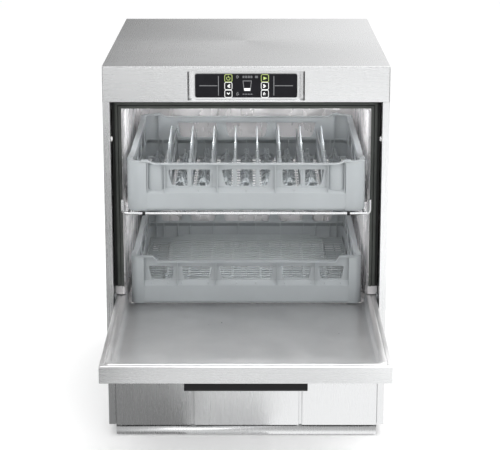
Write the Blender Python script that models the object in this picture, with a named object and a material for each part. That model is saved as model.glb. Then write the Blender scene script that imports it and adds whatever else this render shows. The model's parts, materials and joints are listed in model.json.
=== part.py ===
"""Undercounter front-loading commercial dishwasher, as an assembly of separate solids.

Metres, +Z up, the front faces -Y, +X is the machine's right as seen from the front.
The origin is on the floor, in the middle of the box round the machine with its door open.
"""

import math

import bmesh
import bpy
from mathutils import Matrix, Vector

# Cabinet
WIDTH = 0.600
HEIGHT = 0.820
DEPTH = 0.700
SHEET = 0.0015
GAP = 0.0003
BODY_BOTTOM = 0.028
FASCIA_BOTTOM = 0.745
STRIP_WIDTH = 0.015

# Door, drawn open: its inner side faces up
HINGE_IN = 0.035
HINGE_Z = 0.310
DOOR_HALF_WIDTH = 0.281
DOOR_THICKNESS = 0.035
DOOR_TOP = 0.743
DOOR_BOTTOM = 0.290
PAN_DEPTH = 0.022
RIM = 0.024
DOOR_REACH = DOOR_TOP - HINGE_Z - HINGE_IN
LOWER_PANEL_TOP = 0.268
STUD_LENGTH = WIDTH / 2 - STRIP_WIDTH - GAP - DOOR_HALF_WIDTH - 2 * GAP

# The cabinet's front plane, which puts the origin under the middle of the whole machine
FRONT = -(DEPTH - DOOR_REACH) / 2
REAR = FRONT + DEPTH
HINGE_Y = FRONT + HINGE_IN

# Chamber
CHAMBER_HALF = 0.2623
CHAMBER_TOP = 0.7223
CHAMBER_REAR = FRONT + 0.5553
TANK_WALL = 0.0012
TANK_FLOOR = 0.2047
TANK_LIP = 0.2872
TANK_RADIUS = 0.030
SEAL_FRONT = FRONT + DOOR_THICKNESS + GAP
FLANGE_FRONT = FRONT + 0.0457
WELL_FRONT = FRONT + 0.0557
SPRAY_Y = FRONT + 0.306

# Racks
RACK_HALF = 0.250
RACK_WALL = 0.003
LOWER_RACK_FRONT = FRONT + 0.048
LOWER_RACK_BOTTOM = 0.2892
LOWER_RACK_RIM = 0.384
UPPER_RACK_FRONT = FRONT - 0.034
UPPER_RACK_BOTTOM = 0.5195
UPPER_RACK_RIM = 0.621
CORNER_RISE = 0.012
DIVIDER_PITCH = 0.0475
DIVIDER_PEAK = 0.1255
CARRIER_Z = 0.516
CARRIER_WIRE = 0.003
CARRIER_FRONT = FRONT - 0.040

# Control panel
PANEL_HALF = 0.1065
PANEL_BOTTOM = 0.754
PANEL_TOP = 0.804
KEY_SIZE = 0.0140
KEY_X = (-0.037, 0.039)
KEY_Z = (0.795, 0.7785, 0.762)
KEY_NAMES = (("key_power", "key_start"), ("key_left", "key_right"), ("key_down", "key_option"))

MATERIALS = {
    "steel": ((0.60, 0.61, 0.62, 1), 0.30, 1.0),
    "chamber_steel": ((0.70, 0.71, 0.72, 1), 0.16, 1.0),
    "chrome": ((0.80, 0.81, 0.82, 1), 0.08, 1.0),
    "rack_plastic": ((0.62, 0.66, 0.70, 1), 0.45, 0.0),
    "insert_plastic": ((0.72, 0.74, 0.75, 1), 0.50, 0.0),
    "black_plastic": ((0.02, 0.02, 0.02, 1), 0.40, 0.0),
    "dark_rubber": ((0.05, 0.05, 0.05, 1), 0.70, 0.0),
    "panel_glass": ((0.01, 0.01, 0.012, 1), 0.08, 0.0),
    "white_plastic": ((0.85, 0.85, 0.84, 1), 0.40, 0.0),
    "board_green": ((0.03, 0.20, 0.09, 1), 0.50, 0.0),
    "cast_grey": ((0.35, 0.36, 0.37, 1), 0.55, 0.8),
    "brass": ((0.70, 0.52, 0.25, 1), 0.30, 1.0),
}


def clear_scene():
    for old in list(bpy.data.objects):
        bpy.data.objects.remove(old, do_unlink=True)


def material(slot):
    found = bpy.data.materials.get(slot)
    if found:
        return found
    colour, roughness, metallic = MATERIALS[slot]
    made = bpy.data.materials.new(slot)
    made.use_nodes = True
    shader = made.node_tree.nodes["Principled BSDF"]
    shader.inputs["Base Color"].default_value = colour
    shader.inputs["Roughness"].default_value = roughness
    shader.inputs["Metallic"].default_value = metallic
    made.diffuse_color = colour
    return made


# Shapes: each function gives a bmesh in world coordinates


def block(low, high):
    shape = bmesh.new()
    bmesh.ops.create_cube(shape, size=1)
    size = [b - a for a, b in zip(low, high)]
    middle = [(a + b) / 2 for a, b in zip(low, high)]
    bmesh.ops.transform(
        shape, matrix=Matrix.Translation(middle) @ Matrix.Diagonal((*size, 1)), verts=shape.verts
    )
    return shape


def rounded(low, high, radius, axis, segments=3):
    """A block whose four edges along one axis are rounded."""
    shape = block(low, high)
    along = [
        edge
        for edge in shape.edges
        if abs((edge.verts[0].co - edge.verts[1].co)[axis]) > 0.5 * (high[axis] - low[axis])
    ]
    bmesh.ops.bevel(
        shape, geom=along, offset=radius, segments=segments, profile=0.5, affect="EDGES"
    )
    return shape


def prism(outline, axis, start, end):
    """A polygon given on the two other axes, in X, Y, Z order, extruded along this one."""
    shape = bmesh.new()
    corners = []
    for u, v in outline:
        point = [u, v]
        point.insert(axis, start)
        corners.append(shape.verts.new(point))
    face = shape.faces.new(corners)
    out = bmesh.ops.extrude_face_region(shape, geom=[face])["geom"]
    step = Vector((0, 0, 0))
    step[axis] = end - start
    moved = [item for item in out if isinstance(item, bmesh.types.BMVert)]
    bmesh.ops.translate(shape, vec=step, verts=moved)
    bmesh.ops.recalc_face_normals(shape, faces=shape.faces)
    return shape


def rod(start, end, radius, sides=10):
    """A round bar between two points."""
    start, end = Vector(start), Vector(end)
    shape = bmesh.new()
    bmesh.ops.create_cone(
        shape,
        cap_ends=True,
        segments=sides,
        radius1=radius,
        radius2=radius,
        depth=(end - start).length,
    )
    turn = Vector((0, 0, 1)).rotation_difference(end - start).to_matrix().to_4x4()
    bmesh.ops.transform(
        shape, matrix=Matrix.Translation((start + end) / 2) @ turn, verts=shape.verts
    )
    return shape


def turned(profile, centre, direction=(0, 0, 1), sides=20):
    """A closed outline of (radius, height) turned about an axis. Radius 0 is on the axis."""
    shape = bmesh.new()
    rings = []
    for radius, height in profile:
        if radius == 0:
            rings.append([shape.verts.new((0, 0, height))])
            continue
        angles = [2 * math.pi * step / sides for step in range(sides)]
        rings.append(
            [shape.verts.new((radius * math.cos(a), radius * math.sin(a), height)) for a in angles]
        )
    pairs = list(zip(rings, rings[1:] + rings[:1]))
    for low, high in pairs:
        if len(low) == 1 and len(high) == 1:
            continue
        for step in range(sides):
            after = (step + 1) % sides
            corners = [low[step % len(low)], low[after % len(low)]]
            corners += [high[after % len(high)], high[step % len(high)]]
            shape.faces.new(list(dict.fromkeys(corners)))
    bmesh.ops.recalc_face_normals(shape, faces=shape.faces)
    turn = Vector((0, 0, 1)).rotation_difference(Vector(direction)).to_matrix().to_4x4()
    bmesh.ops.transform(shape, matrix=Matrix.Translation(centre) @ turn, verts=shape.verts)
    return shape


def together(shapes):
    """Shapes that don't touch, as one bmesh."""
    joined = bmesh.new()
    for shape in shapes:
        held = bpy.data.meshes.new("held")
        shape.to_mesh(held)
        joined.from_mesh(held)
        bpy.data.meshes.remove(held)
        shape.free()
    return joined


# Objects


def as_object(name, shape):
    mesh = bpy.data.meshes.new(name)
    bmesh.ops.recalc_face_normals(shape, faces=shape.faces)
    shape.to_mesh(mesh)
    shape.free()
    made = bpy.data.objects.new(name, mesh)
    bpy.context.collection.objects.link(made)
    return made


def combine(target, shape, operation):
    helper = as_object(f"{target.name}.helper", shape)
    helper.hide_render = True
    helper.display_type = "WIRE"
    modifier = target.modifiers.new(operation.lower(), "BOOLEAN")
    modifier.operation = operation
    modifier.object = helper
    modifier.solver = "EXACT"


def solid(name, slot, base, add=(), cut=(), pivot=None, smooth=False):
    """One sub-part: a base shape, what is welded to it, then what is cut out of the whole."""
    made = as_object(name, base)
    for shape in add:
        combine(made, shape, "UNION")
    for shape in cut:
        combine(made, shape, "DIFFERENCE")
    made.data.materials.append(material(slot))
    if smooth:
        made.data.shade_smooth()
        made.data.set_sharp_from_angle(angle=math.radians(35))
    if pivot:
        made.parent = pivot
        made.location = -pivot.location
    return made


def pivot_at(name, place):
    made = bpy.data.objects.new(name, None)
    made.empty_display_size = 0.03
    made.location = place
    bpy.context.collection.objects.link(made)
    return made


def tube(name, slot, points, radius, pivot=None):
    """A bent pipe along straight runs whose corners are rounded."""
    curve = bpy.data.curves.new(name, "CURVE")
    curve.dimensions = "3D"
    curve.bevel_depth = radius
    curve.bevel_resolution = 2
    curve.use_fill_caps = True
    route = rounded_route([Vector(point) for point in points], 2.5 * radius)
    spline = curve.splines.new("POLY")
    spline.points.add(len(route) - 1)
    for point, place in zip(spline.points, route):
        point.co = (*place, 1)
    made = bpy.data.objects.new(name, curve)
    bpy.context.collection.objects.link(made)
    curve.materials.append(material(slot))
    if pivot:
        made.parent = pivot
        made.location = -pivot.location
    return made


def rounded_route(points, radius, steps=4):
    route = [points[0]]
    for before, corner, after in zip(points, points[1:], points[2:]):
        into = corner + (before - corner).normalized() * radius
        out = corner + (after - corner).normalized() * radius
        for step in range(steps + 1):
            t = step / steps
            route.append(into * (1 - t) ** 2 + corner * 2 * t * (1 - t) + out * t**2)
    return route + [points[-1]]


# Cabinet


def build_cabinet():
    half = WIDTH / 2
    for side, sign in (("left", -1), ("right", 1)):
        x_low, x_high = half - SHEET, half
        strip_in = half - STRIP_WIDTH
        lip_top = FASCIA_BOTTOM - GAP
        outline = [
            (sign * half, FRONT),
            (sign * strip_in, FRONT),
            (sign * strip_in, FRONT + 0.028),
            (sign * (strip_in + SHEET), FRONT + 0.028),
            (sign * (strip_in + SHEET), FRONT + SHEET),
            (sign * x_low, FRONT + SHEET),
            (sign * x_low, REAR),
            (sign * x_high, REAR),
        ]
        solid(f"side_panel_{side}", "steel", prism(outline, 2, BODY_BOTTOM, lip_top))

    top = block((-half, FRONT, FASCIA_BOTTOM), (half, REAR, HEIGHT))
    hollow = block(
        (-half + SHEET, FRONT - 0.1, FASCIA_BOTTOM - 0.1),
        (half - SHEET, REAR - SHEET, HEIGHT - SHEET),
    )
    solid("top_panel", "steel", top, cut=[hollow])

    inner = half - SHEET - GAP
    rear = block((-inner, REAR - SHEET, BODY_BOTTOM), (inner, REAR, FASCIA_BOTTOM - GAP))
    holes = together(
        rod((x, REAR - 0.01, z), (x, REAR + 0.01, z), radius + 0.0005, 16)
        for x, z, radius in REAR_FITTINGS.values()
    )
    louvres = together(
        block((-0.06, REAR - 0.01, z), (0.06, REAR + 0.01, z + 0.006))
        for z in [0.60 + 0.014 * step for step in range(6)]
    )
    solid("rear_panel", "steel", rear, cut=[holes, louvres])

    build_fascia(inner)
    build_lower_front()

    tray = block((-inner, FRONT + 0.0305, 0.0285), (inner, REAR - SHEET - GAP, 0.0535))
    tray_hollow = block(
        (-inner + SHEET, FRONT + 0.032, 0.030), (inner - SHEET, REAR - 2 * SHEET - GAP, 0.06)
    )
    service = together(
        block((-0.10, FRONT + y, 0.02), (0.10, FRONT + y + 0.18, 0.04)) for y in (0.12, 0.42)
    )
    solid("base_frame", "steel", tray, cut=[tray_hollow, service])

    foot = [(0, 0), (0.019, 0), (0.021, 0.003), (0.021, 0.010), (0.012, 0.014), (0.012, 0.0282)]
    for row, y in (("front", FRONT + 0.070), ("rear", REAR - 0.060)):
        for side, x in (("left", -0.255), ("right", 0.255)):
            profile = foot + [(0, 0.0282)]
            shape = turned(profile, (x, y, 0), sides=16)
            solid(f"foot_{row}_{side}", "black_plastic", shape, smooth=True)


RECESS_HALF = 0.122
RECESS_LOW = 0.7485
RECESS_HIGH = 0.810
RECESS_DEPTH = 0.010


def build_fascia(inner):
    """Front band with a sunk middle that holds the control panel."""
    plate = block((-inner, FRONT, FASCIA_BOTTOM), (inner, FRONT + SHEET, HEIGHT - SHEET - GAP))
    tub = block(
        (-RECESS_HALF - SHEET, FRONT, FASCIA_BOTTOM),
        (RECESS_HALF + SHEET, FRONT + RECESS_DEPTH + SHEET, RECESS_HIGH + SHEET),
    )
    bottom_lip = block(
        (-inner, FRONT, FASCIA_BOTTOM), (inner, FRONT + 0.034, FASCIA_BOTTOM + SHEET)
    )
    hollow = block(
        (-RECESS_HALF, FRONT - 0.01, RECESS_LOW), (RECESS_HALF, FRONT + RECESS_DEPTH, RECESS_HIGH)
    )
    window = block(
        (-0.088, FRONT - 0.01, PANEL_BOTTOM + 0.0005), (0.088, FRONT + 0.02, PANEL_TOP - 0.0005)
    )
    solid("fascia", "steel", plate, add=[tub, bottom_lip], cut=[hollow, window])

    glass = rounded(
        (-PANEL_HALF, FRONT + 0.0045, PANEL_BOTTOM),
        (PANEL_HALF, FRONT + RECESS_DEPTH - GAP, PANEL_TOP),
        0.004,
        1,
    )
    room = KEY_SIZE / 2 + GAP
    key_holes = together(
        block((x - room, FRONT, z - room), (x + room, FRONT + 0.02, z + room))
        for x in KEY_X
        for z in KEY_Z
    )
    solid("control_panel", "panel_glass", glass, cut=[key_holes])

    for row, names in enumerate(KEY_NAMES):
        for x, name in zip(KEY_X, names):
            z = KEY_Z[row]
            half = KEY_SIZE / 2
            key_pivot = pivot_at(f"{name}_slide", (x, FRONT + 0.0035, z))
            cap = rounded(
                (x - half, FRONT + 0.0035, z - half), (x + half, FRONT + 0.0155, z + half), 0.002, 1, 2
            )
            solid(name, "black_plastic", cap, pivot=key_pivot)

    board = block((-0.112, FRONT + 0.0180, 0.7500), (0.112, FRONT + 0.0196, 0.8070))
    posts = [
        rod((x, FRONT + RECESS_DEPTH + SHEET + GAP, z), (x, FRONT + 0.0185, z), 0.0025, 8)
        for x in (-0.104, 0.104)
        for z in (0.7535, 0.8040)
    ]
    chips = together(
        block((x, FRONT + 0.0190, 0.770), (x + size, FRONT + 0.0190 + tall, 0.790))
        for x, size, tall in ((-0.09, 0.03, 0.012), (-0.03, 0.02, 0.006), (0.02, 0.05, 0.018))
    )
    solid("control_board", "board_green", board, add=[*posts, chips])


def build_lower_front():
    """Panel below the door, with two sunk vertical lines, and the plinth behind its foot."""
    edge = WIDTH / 2 - STRIP_WIDTH - GAP * 2
    line_x, line_width, line_depth = 0.118, 0.007, 0.005

    def profile(inset):
        """Half of the sheet's outline, from the middle to the right edge."""
        grow = inset
        return [
            (line_x - line_width / 2 - grow, FRONT + inset),
            (line_x - line_width / 2 - grow, FRONT + line_depth + inset),
            (line_x + line_width / 2 + grow, FRONT + line_depth + inset),
            (line_x + line_width / 2 + grow, FRONT + inset),
        ]

    front = profile(0)
    back = profile(SHEET)
    right = front + [(edge, FRONT), (edge, FRONT + 0.020), (edge - SHEET, FRONT + 0.020)]
    right += [(edge - SHEET, FRONT + SHEET), *reversed(back)]
    left = [(-x, y) for x, y in reversed(right)]
    solid("lower_front_panel", "steel", prism(right + left, 2, 0.026, LOWER_PANEL_TOP))
    plinth = block((-0.280, FRONT + 0.0225, 0.003), (0.280, FRONT + 0.024, 0.0278))
    foot_fold = block((-0.280, FRONT + 0.0225, 0.003), (0.280, FRONT + 0.040, 0.0045))
    solid("plinth", "steel", plinth, add=[foot_fold])


# Tank and what is fixed in it


def build_tank():
    outer_half = CHAMBER_HALF + TANK_WALL
    outer = rounded(
        (-outer_half, FLANGE_FRONT, TANK_FLOOR - TANK_WALL),
        (outer_half, CHAMBER_REAR + TANK_WALL, CHAMBER_TOP + TANK_WALL),
        TANK_RADIUS + TANK_WALL,
        1,
    )
    flange = block(
        (-0.2842, FLANGE_FRONT, HINGE_Z + GAP * 4), (0.2842, FLANGE_FRONT + TANK_WALL, 0.7435)
    )
    hollow = rounded(
        (-CHAMBER_HALF, WELL_FRONT + TANK_WALL, TANK_FLOOR),
        (CHAMBER_HALF, CHAMBER_REAR, CHAMBER_TOP),
        TANK_RADIUS,
        1,
    )
    mouth = rounded(
        (-CHAMBER_HALF, FRONT - 0.05, TANK_LIP),
        (CHAMBER_HALF, WELL_FRONT + 0.02, CHAMBER_TOP),
        TANK_RADIUS,
        1,
    )
    lower_mouth = block(
        (-CHAMBER_HALF, FRONT - 0.05, TANK_LIP), (CHAMBER_HALF, WELL_FRONT + 0.02, 0.40)
    )
    notch = block((-0.30, FRONT, 0.19), (0.30, WELL_FRONT, HINGE_Z + GAP * 4))
    drain = rod((0, SPRAY_Y, 0.19), (0, SPRAY_Y, 0.22), 0.0855, 24)
    feed = rod((0, SPRAY_Y, 0.71), (0, SPRAY_Y, 0.74), 0.0125, 16)
    solid(
        "wash_tank",
        "chamber_steel",
        outer,
        add=[flange],
        cut=[hollow, mouth, lower_mouth, notch, drain, feed],
    )

    seal_out, seal_in = 0.2842, CHAMBER_HALF + 0.002
    seal_low, seal_top, seal_band = HINGE_Z + 0.022, FASCIA_BOTTOM - 0.001, 0.020
    outline = [
        (-seal_out, seal_low),
        (-seal_out, seal_top),
        (seal_out, seal_top),
        (seal_out, seal_low),
        (seal_in, seal_low),
        (seal_in, seal_top - seal_band),
        (-seal_in, seal_top - seal_band),
        (-seal_in, seal_low),
    ]
    solid("opening_gasket", "dark_rubber", prism(outline, 1, SEAL_FRONT, FLANGE_FRONT - GAP))

    for side, sign in (("left", -1), ("right", 1)):
        stud_profile = [(0, 0), (0.0035, 0), (0.0055, 0.0012), (0.0055, STUD_LENGTH), (0, STUD_LENGTH)]
        tip = (sign * (DOOR_HALF_WIDTH + 2 * GAP), FRONT + 0.018, 0.663)
        stud = turned(stud_profile, tip, (sign, 0, 0), 14)
        solid(f"catch_stud_{side}", "white_plastic", stud, smooth=True)
        build_guides(side, sign)

    vent = [(0, 0), (0.013, 0), (0.016, 0.003), (0.016, 0.0115), (0, 0.0115)]
    place = (0.098, CHAMBER_REAR - 0.0118, 0.668)
    solid("tank_vent", "dark_rubber", turned(vent, place, (0, 1, 0), 20), smooth=True)
    heater_y, heater_z = CHAMBER_REAR - 0.035, TANK_FLOOR + 0.010
    route = [
        (-0.030, CHAMBER_REAR - GAP, heater_z),
        (-0.030, heater_y + 0.012, heater_z),
        (-0.180, heater_y + 0.012, heater_z),
        (-0.180, heater_y - 0.060, heater_z),
        (0.180, heater_y - 0.060, heater_z),
        (0.180, heater_y + 0.012, heater_z),
        (0.030, heater_y + 0.012, heater_z),
        (0.030, CHAMBER_REAR - GAP, heater_z),
    ]
    tube("tank_heater", "chrome", route, 0.004)


def build_guides(side, sign):
    """Angle rails on the chamber's side wall: one under the lower rack, one under the carrier."""
    wall = CHAMBER_HALF - GAP
    y_low, y_high = WELL_FRONT + 0.010, CHAMBER_REAR - 0.012
    for level, top, reach in (
        ("lower", LOWER_RACK_BOTTOM - GAP, 0.238),
        ("upper", CARRIER_Z - CARRIER_WIRE - GAP, 0.240),
    ):
        outline = [
            (sign * wall, top - SHEET),
            (sign * reach, top - SHEET),
            (sign * reach, top),
            (sign * (wall - SHEET), top),
            (sign * (wall - SHEET), top + 0.030),
            (sign * wall, top + 0.030),
        ]
        solid(f"{level}_guide_{side}", "chamber_steel", prism(outline, 1, y_low, y_high))


def build_spray():
    """Sump, filter, and the two pairs of spray arms with their spindles."""
    sump = [
        (0.062, 0.115),
        (0.085, 0.170),
        (0.085, 0.1995),
        (0.098, 0.1995),
        (0.098, 0.2032),
        (0.0815, 0.2032),
        (0.0815, 0.170),
        (0.0585, 0.119),
        (0, 0.119),
        (0, 0.115),
    ]
    solid("sump", "cast_grey", turned(sump, (0, SPRAY_Y, 0), sides=24), smooth=True)
    basket = [
        (0.055, 0.130),
        (0.055, 0.205),
        (0.095, 0.205),
        (0.095, 0.2075),
        (0, 0.2075),
        (0, 0.2045),
        (0.052, 0.2045),
        (0.052, 0.130),
    ]
    solid("sump_filter", "chamber_steel", turned(basket, (0, SPRAY_Y, 0), sides=24), smooth=True)

    low_spindle = [
        (0, 0.2078),
        (0.022, 0.2078),
        (0.022, 0.212),
        (0.009, 0.218),
        (0.009, 0.262),
        (0, 0.262),
    ]
    solid("lower_spindle", "white_plastic", turned(low_spindle, (0, SPRAY_Y, 0)), smooth=True)
    top = CHAMBER_TOP - GAP
    high_spindle = [(0, 0.672), (0.009, 0.672), (0.009, top - 0.006), (0.022, top - 0.004)]
    high_spindle += [(0.022, top), (0, top)]
    solid("upper_spindle", "white_plastic", turned(high_spindle, (0, SPRAY_Y, 0)), smooth=True)

    for name, z_low, z_high, half_width, reach, tilt in (
        ("lower_wash_arm", 0.2225, 0.2405, 0.020, 0.232, 0.12),
        ("lower_rinse_arm", 0.2435, 0.2545, 0.012, 0.215, -0.20),
        ("upper_wash_arm", 0.6925, 0.7105, 0.020, 0.232, 0.12),
        ("upper_rinse_arm", 0.6780, 0.6890, 0.012, 0.215, -0.20),
    ):
        spray_arm(name, z_low, z_high, half_width, reach, tilt)


def spray_arm(name, z_low, z_high, half_width, reach, tilt):
    """A flat hollow blade that turns on a spindle, with a row of jets."""
    outline = [(-reach, -half_width * 0.5), (-0.03, -half_width), (0.03, -half_width)]
    outline += [(reach, -half_width * 0.5), (reach, half_width * 0.5), (0.03, half_width)]
    outline += [(-0.03, half_width), (-reach, half_width * 0.5)]
    blade = prism(outline, 2, z_low, z_high)
    hub = rod((0, 0, z_low - GAP), (0, 0, z_high + GAP), half_width + 0.004, 16)
    bore = rod((0, 0, z_low - 0.01), (0, 0, z_high + 0.01), 0.0098, 16)
    jets = together(
        rod((sign * x, 0, z_low - 0.01), (sign * x, 0, z_high + 0.01), 0.003, 6)
        for sign in (-1, 1)
        for x in (0.07, 0.12, 0.17, 0.21)
        if x < reach - 0.01
    )
    place = Matrix.Translation((0, SPRAY_Y, 0)) @ Matrix.Rotation(tilt, 4, "Z")
    for shape in (blade, hub, bore, jets):
        bmesh.ops.transform(shape, matrix=place, verts=shape.verts)
    axis = pivot_at(f"{name}_axis", (0, SPRAY_Y, z_low))
    solid(name, "chamber_steel", blade, add=[hub], cut=[bore, jets], pivot=axis)


# Below and behind the tank

REAR_FITTINGS = {
    "water_inlet": (-0.20, 0.100, 0.012),
    "drain_spigot": (0.00, 0.085, 0.015),
    "cable_gland": (0.20, 0.100, 0.010),
}


def build_plant():
    """Pumps, boiler, dosing units and rear fittings."""
    pump_y = FRONT + 0.50
    motor = rod((-0.235, pump_y, 0.100), (-0.095, pump_y, 0.100), 0.048, 20)
    volute = rod((-0.100, pump_y, 0.100), (-0.045, pump_y, 0.100), 0.062, 20)
    outlet = rod((-0.072, pump_y, 0.110), (-0.072, pump_y, 0.185), 0.016, 12)
    stand = block((-0.20, pump_y - 0.03, 0.0303), (-0.12, pump_y + 0.03, 0.070))
    solid("wash_pump", "cast_grey", motor, add=[volute, outlet, stand])

    drain_x = 0.140
    drain = rod((drain_x - 0.045, pump_y, 0.078), (drain_x + 0.045, pump_y, 0.078), 0.028, 16)
    head = rod((drain_x - 0.070, pump_y, 0.078), (drain_x - 0.040, pump_y, 0.078), 0.036, 16)
    pad = block((drain_x - 0.02, pump_y - 0.02, 0.0303), (drain_x + 0.03, pump_y + 0.02, 0.060))
    solid("drain_pump", "black_plastic", drain, add=[head, pad])

    boiler_x, boiler_y = 0.195, FRONT + 0.200
    boiler = turned(
        [(0, 0.0303), (0.060, 0.0303), (0.068, 0.040), (0.068, 0.180), (0.060, 0.190), (0, 0.190)],
        (boiler_x, boiler_y, 0),
    )
    element = rod((boiler_x, boiler_y, 0.185), (boiler_x, boiler_y, 0.198), 0.022, 12)
    solid("rinse_boiler", "chamber_steel", boiler, add=[element])

    for name, y in (("detergent_doser", FRONT + 0.100), ("rinse_aid_doser", FRONT + 0.190)):
        case = block((-0.285, y, 0.0560), (-0.225, y + 0.065, 0.125))
        roller = rod((-0.230, y + 0.0325, 0.090), (-0.205, y + 0.0325, 0.090), 0.024, 16)
        foot = block((-0.283, y + 0.02, 0.0303), (-0.26, y + 0.045, 0.060))
        solid(name, "white_plastic", case, add=[roller, foot])

    inlet_x, inlet_z, _ = REAR_FITTINGS["water_inlet"]
    valve = block(
        (inlet_x - 0.02, REAR - 0.110, inlet_z - 0.02), (inlet_x + 0.02, REAR - 0.070, inlet_z + 0.02)
    )
    coil = rod((inlet_x, REAR - 0.09, inlet_z + 0.01), (inlet_x, REAR - 0.09, inlet_z + 0.055), 0.016, 14)
    leg = block((inlet_x - 0.01, REAR - 0.10, 0.0303), (inlet_x + 0.01, REAR - 0.08, inlet_z))
    solid("inlet_valve", "white_plastic", valve, add=[coil, leg])

    for name, slot, length in (
        ("water_inlet", "brass", 0.069),
        ("drain_spigot", "black_plastic", 0.080),
        ("cable_gland", "black_plastic", 0.030),
    ):
        x, z, radius = REAR_FITTINGS[name]
        stub = rod((x, REAR - length, z), (x, REAR - 0.0005, z), radius, 16)
        collar = rod((x, REAR - 0.010, z), (x, REAR - SHEET - GAP, z), radius + 0.006, 6)
        bore = rod((x, REAR - length + 0.004, z), (x, REAR + 0.01, z), radius * 0.6, 12)
        solid(name, slot, stub, add=[collar], cut=[bore])

    riser = [
        (0, SPRAY_Y + 0.0805, 0.140),
        (0, CHAMBER_REAR + 0.040, 0.140),
        (0, CHAMBER_REAR + 0.040, CHAMBER_TOP + 0.040),
        (0, SPRAY_Y, CHAMBER_TOP + 0.040),
        (0, SPRAY_Y, CHAMBER_TOP + GAP),
    ]
    tube("wash_riser", "black_plastic", riser, 0.010)


# Door


def build_door():
    axis = pivot_at("door_axis", (0, HINGE_Y, HINGE_Z))
    face = HINGE_Z
    outside = face - DOOR_THICKNESS
    front = HINGE_Y - (DOOR_TOP - HINGE_Z)
    back = HINGE_Y + (HINGE_Z - DOOR_BOTTOM)
    half = DOOR_HALF_WIDTH
    pan = face - PAN_DEPTH
    pan_half = half - RIM

    skin = block((-half, front, outside), (half, back, face - SHEET - GAP))
    skin_hollow = block(
        (-half + SHEET, front + SHEET, outside + SHEET), (half - SHEET, back - SHEET, face + 0.01)
    )
    sill_half = pan_half + SHEET + GAP
    skin_sill = block(
        (-sill_half, back - 0.01, pan - TANK_WALL - GAP), (sill_half, back + 0.01, face + 0.01)
    )
    solid("door_outer_skin", "steel", skin, cut=[skin_hollow, skin_sill], pivot=axis)

    plate = block((-half, front, pan - TANK_WALL), (half, back, face))
    pan_hollow = prism(
        [
            (-pan_half, back + 0.01),
            (-pan_half, front + RIM + 0.012),
            (-pan_half + 0.012, front + RIM),
            (pan_half - 0.012, front + RIM),
            (pan_half, front + RIM + 0.012),
            (pan_half, back + 0.01),
        ],
        2,
        pan,
        face + 0.01,
    )
    wall = SHEET
    under = face - SHEET
    low = pan - 0.05
    inset = SHEET + GAP
    rim_hollow = prism(
        [
            (-half + inset, back - inset),
            (-half + inset, front + inset),
            (half - inset, front + inset),
            (half - inset, back - inset),
            (pan_half + wall, back - inset),
            (pan_half + wall, front + RIM + 0.012),
            (pan_half - 0.012, front + RIM - wall),
            (-pan_half + 0.012, front + RIM - wall),
            (-pan_half - wall, front + RIM + 0.012),
            (-pan_half - wall, back - inset),
        ],
        2,
        low,
        under,
    )
    edge_room = [
        block((-half - 0.01, front - 0.01, low), (-half + inset, back + 0.01, under)),
        block((half - inset, front - 0.01, low), (half + 0.01, back + 0.01, under)),
        block((-half - 0.01, front - 0.01, low), (half + 0.01, front + inset, under)),
        block((-half - 0.01, back - inset, low), (-pan_half - wall, back + 0.01, under)),
        block((pan_half + wall, back - inset, low), (half + 0.01, back + 0.01, under)),
    ]
    solid("door_inner_panel", "chamber_steel", plate, cut=[pan_hollow, rim_hollow, *edge_room], pivot=axis)

    handle_half, handle_deep, handle_long = 0.1185, 0.013, 0.030
    low, high = outside - GAP - handle_deep, outside - GAP
    channel = [
        (front + 0.001, high),
        (front + 0.001, low + 0.003),
        (front + 0.004, low),
        (front + 0.010, low),
        (front + 0.010, high - 0.003),
        (front + handle_long - 0.004, high - 0.003),
        (front + handle_long - 0.004, low + 0.006),
        (front + handle_long, low + 0.006),
        (front + handle_long, high),
    ]
    solid("door_handle", "black_plastic", prism(channel, 0, -handle_half, handle_half), pivot=axis)

    for side, sign in (("left", -1), ("right", 1)):
        near, far = sign * (half + GAP), sign * (half + GAP + 0.0022)
        arm = prism(
            [
                (HINGE_Y - 0.009, HINGE_Z - 0.026),
                (HINGE_Y + 0.009, HINGE_Z - 0.026),
                (HINGE_Y + 0.009, HINGE_Z + 0.002),
                (HINGE_Y + 0.005, HINGE_Z + 0.008),
                (HINGE_Y - 0.005, HINGE_Z + 0.008),
                (HINGE_Y - 0.009, HINGE_Z + 0.002),
            ],
            0,
            near,
            far,
        )
        pin = rod((near, HINGE_Y, HINGE_Z), (sign * 0.2965, HINGE_Y, HINGE_Z), 0.004, 16)
        solid(f"hinge_arm_{side}", "cast_grey", arm, add=[pin], pivot=axis)

        bracket = block(
            (sign * 0.2868, HINGE_Y - 0.0065, HINGE_Z - 0.015),
            (sign * 0.2982, HINGE_Y + 0.030, HINGE_Z + 0.030),
        )
        hole = rod((sign * 0.28, HINGE_Y, HINGE_Z), (sign * 0.2970, HINGE_Y, HINGE_Z), 0.0042, 16)
        solid(f"hinge_bracket_{side}", "cast_grey", bracket, cut=[hole])


# Racks


def rack_wall_windows(edges, z_low, z_high, y_low, y_high, slant=0.004):
    """Trapezoid windows through a front or rear wall, wider at the top."""
    return [
        prism(
            [
                (left + slant, z_low),
                (right - slant, z_low),
                (right, z_high),
                (left, z_high),
            ],
            1,
            y_low,
            y_high,
        )
        for left, right in edges
    ]


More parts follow.
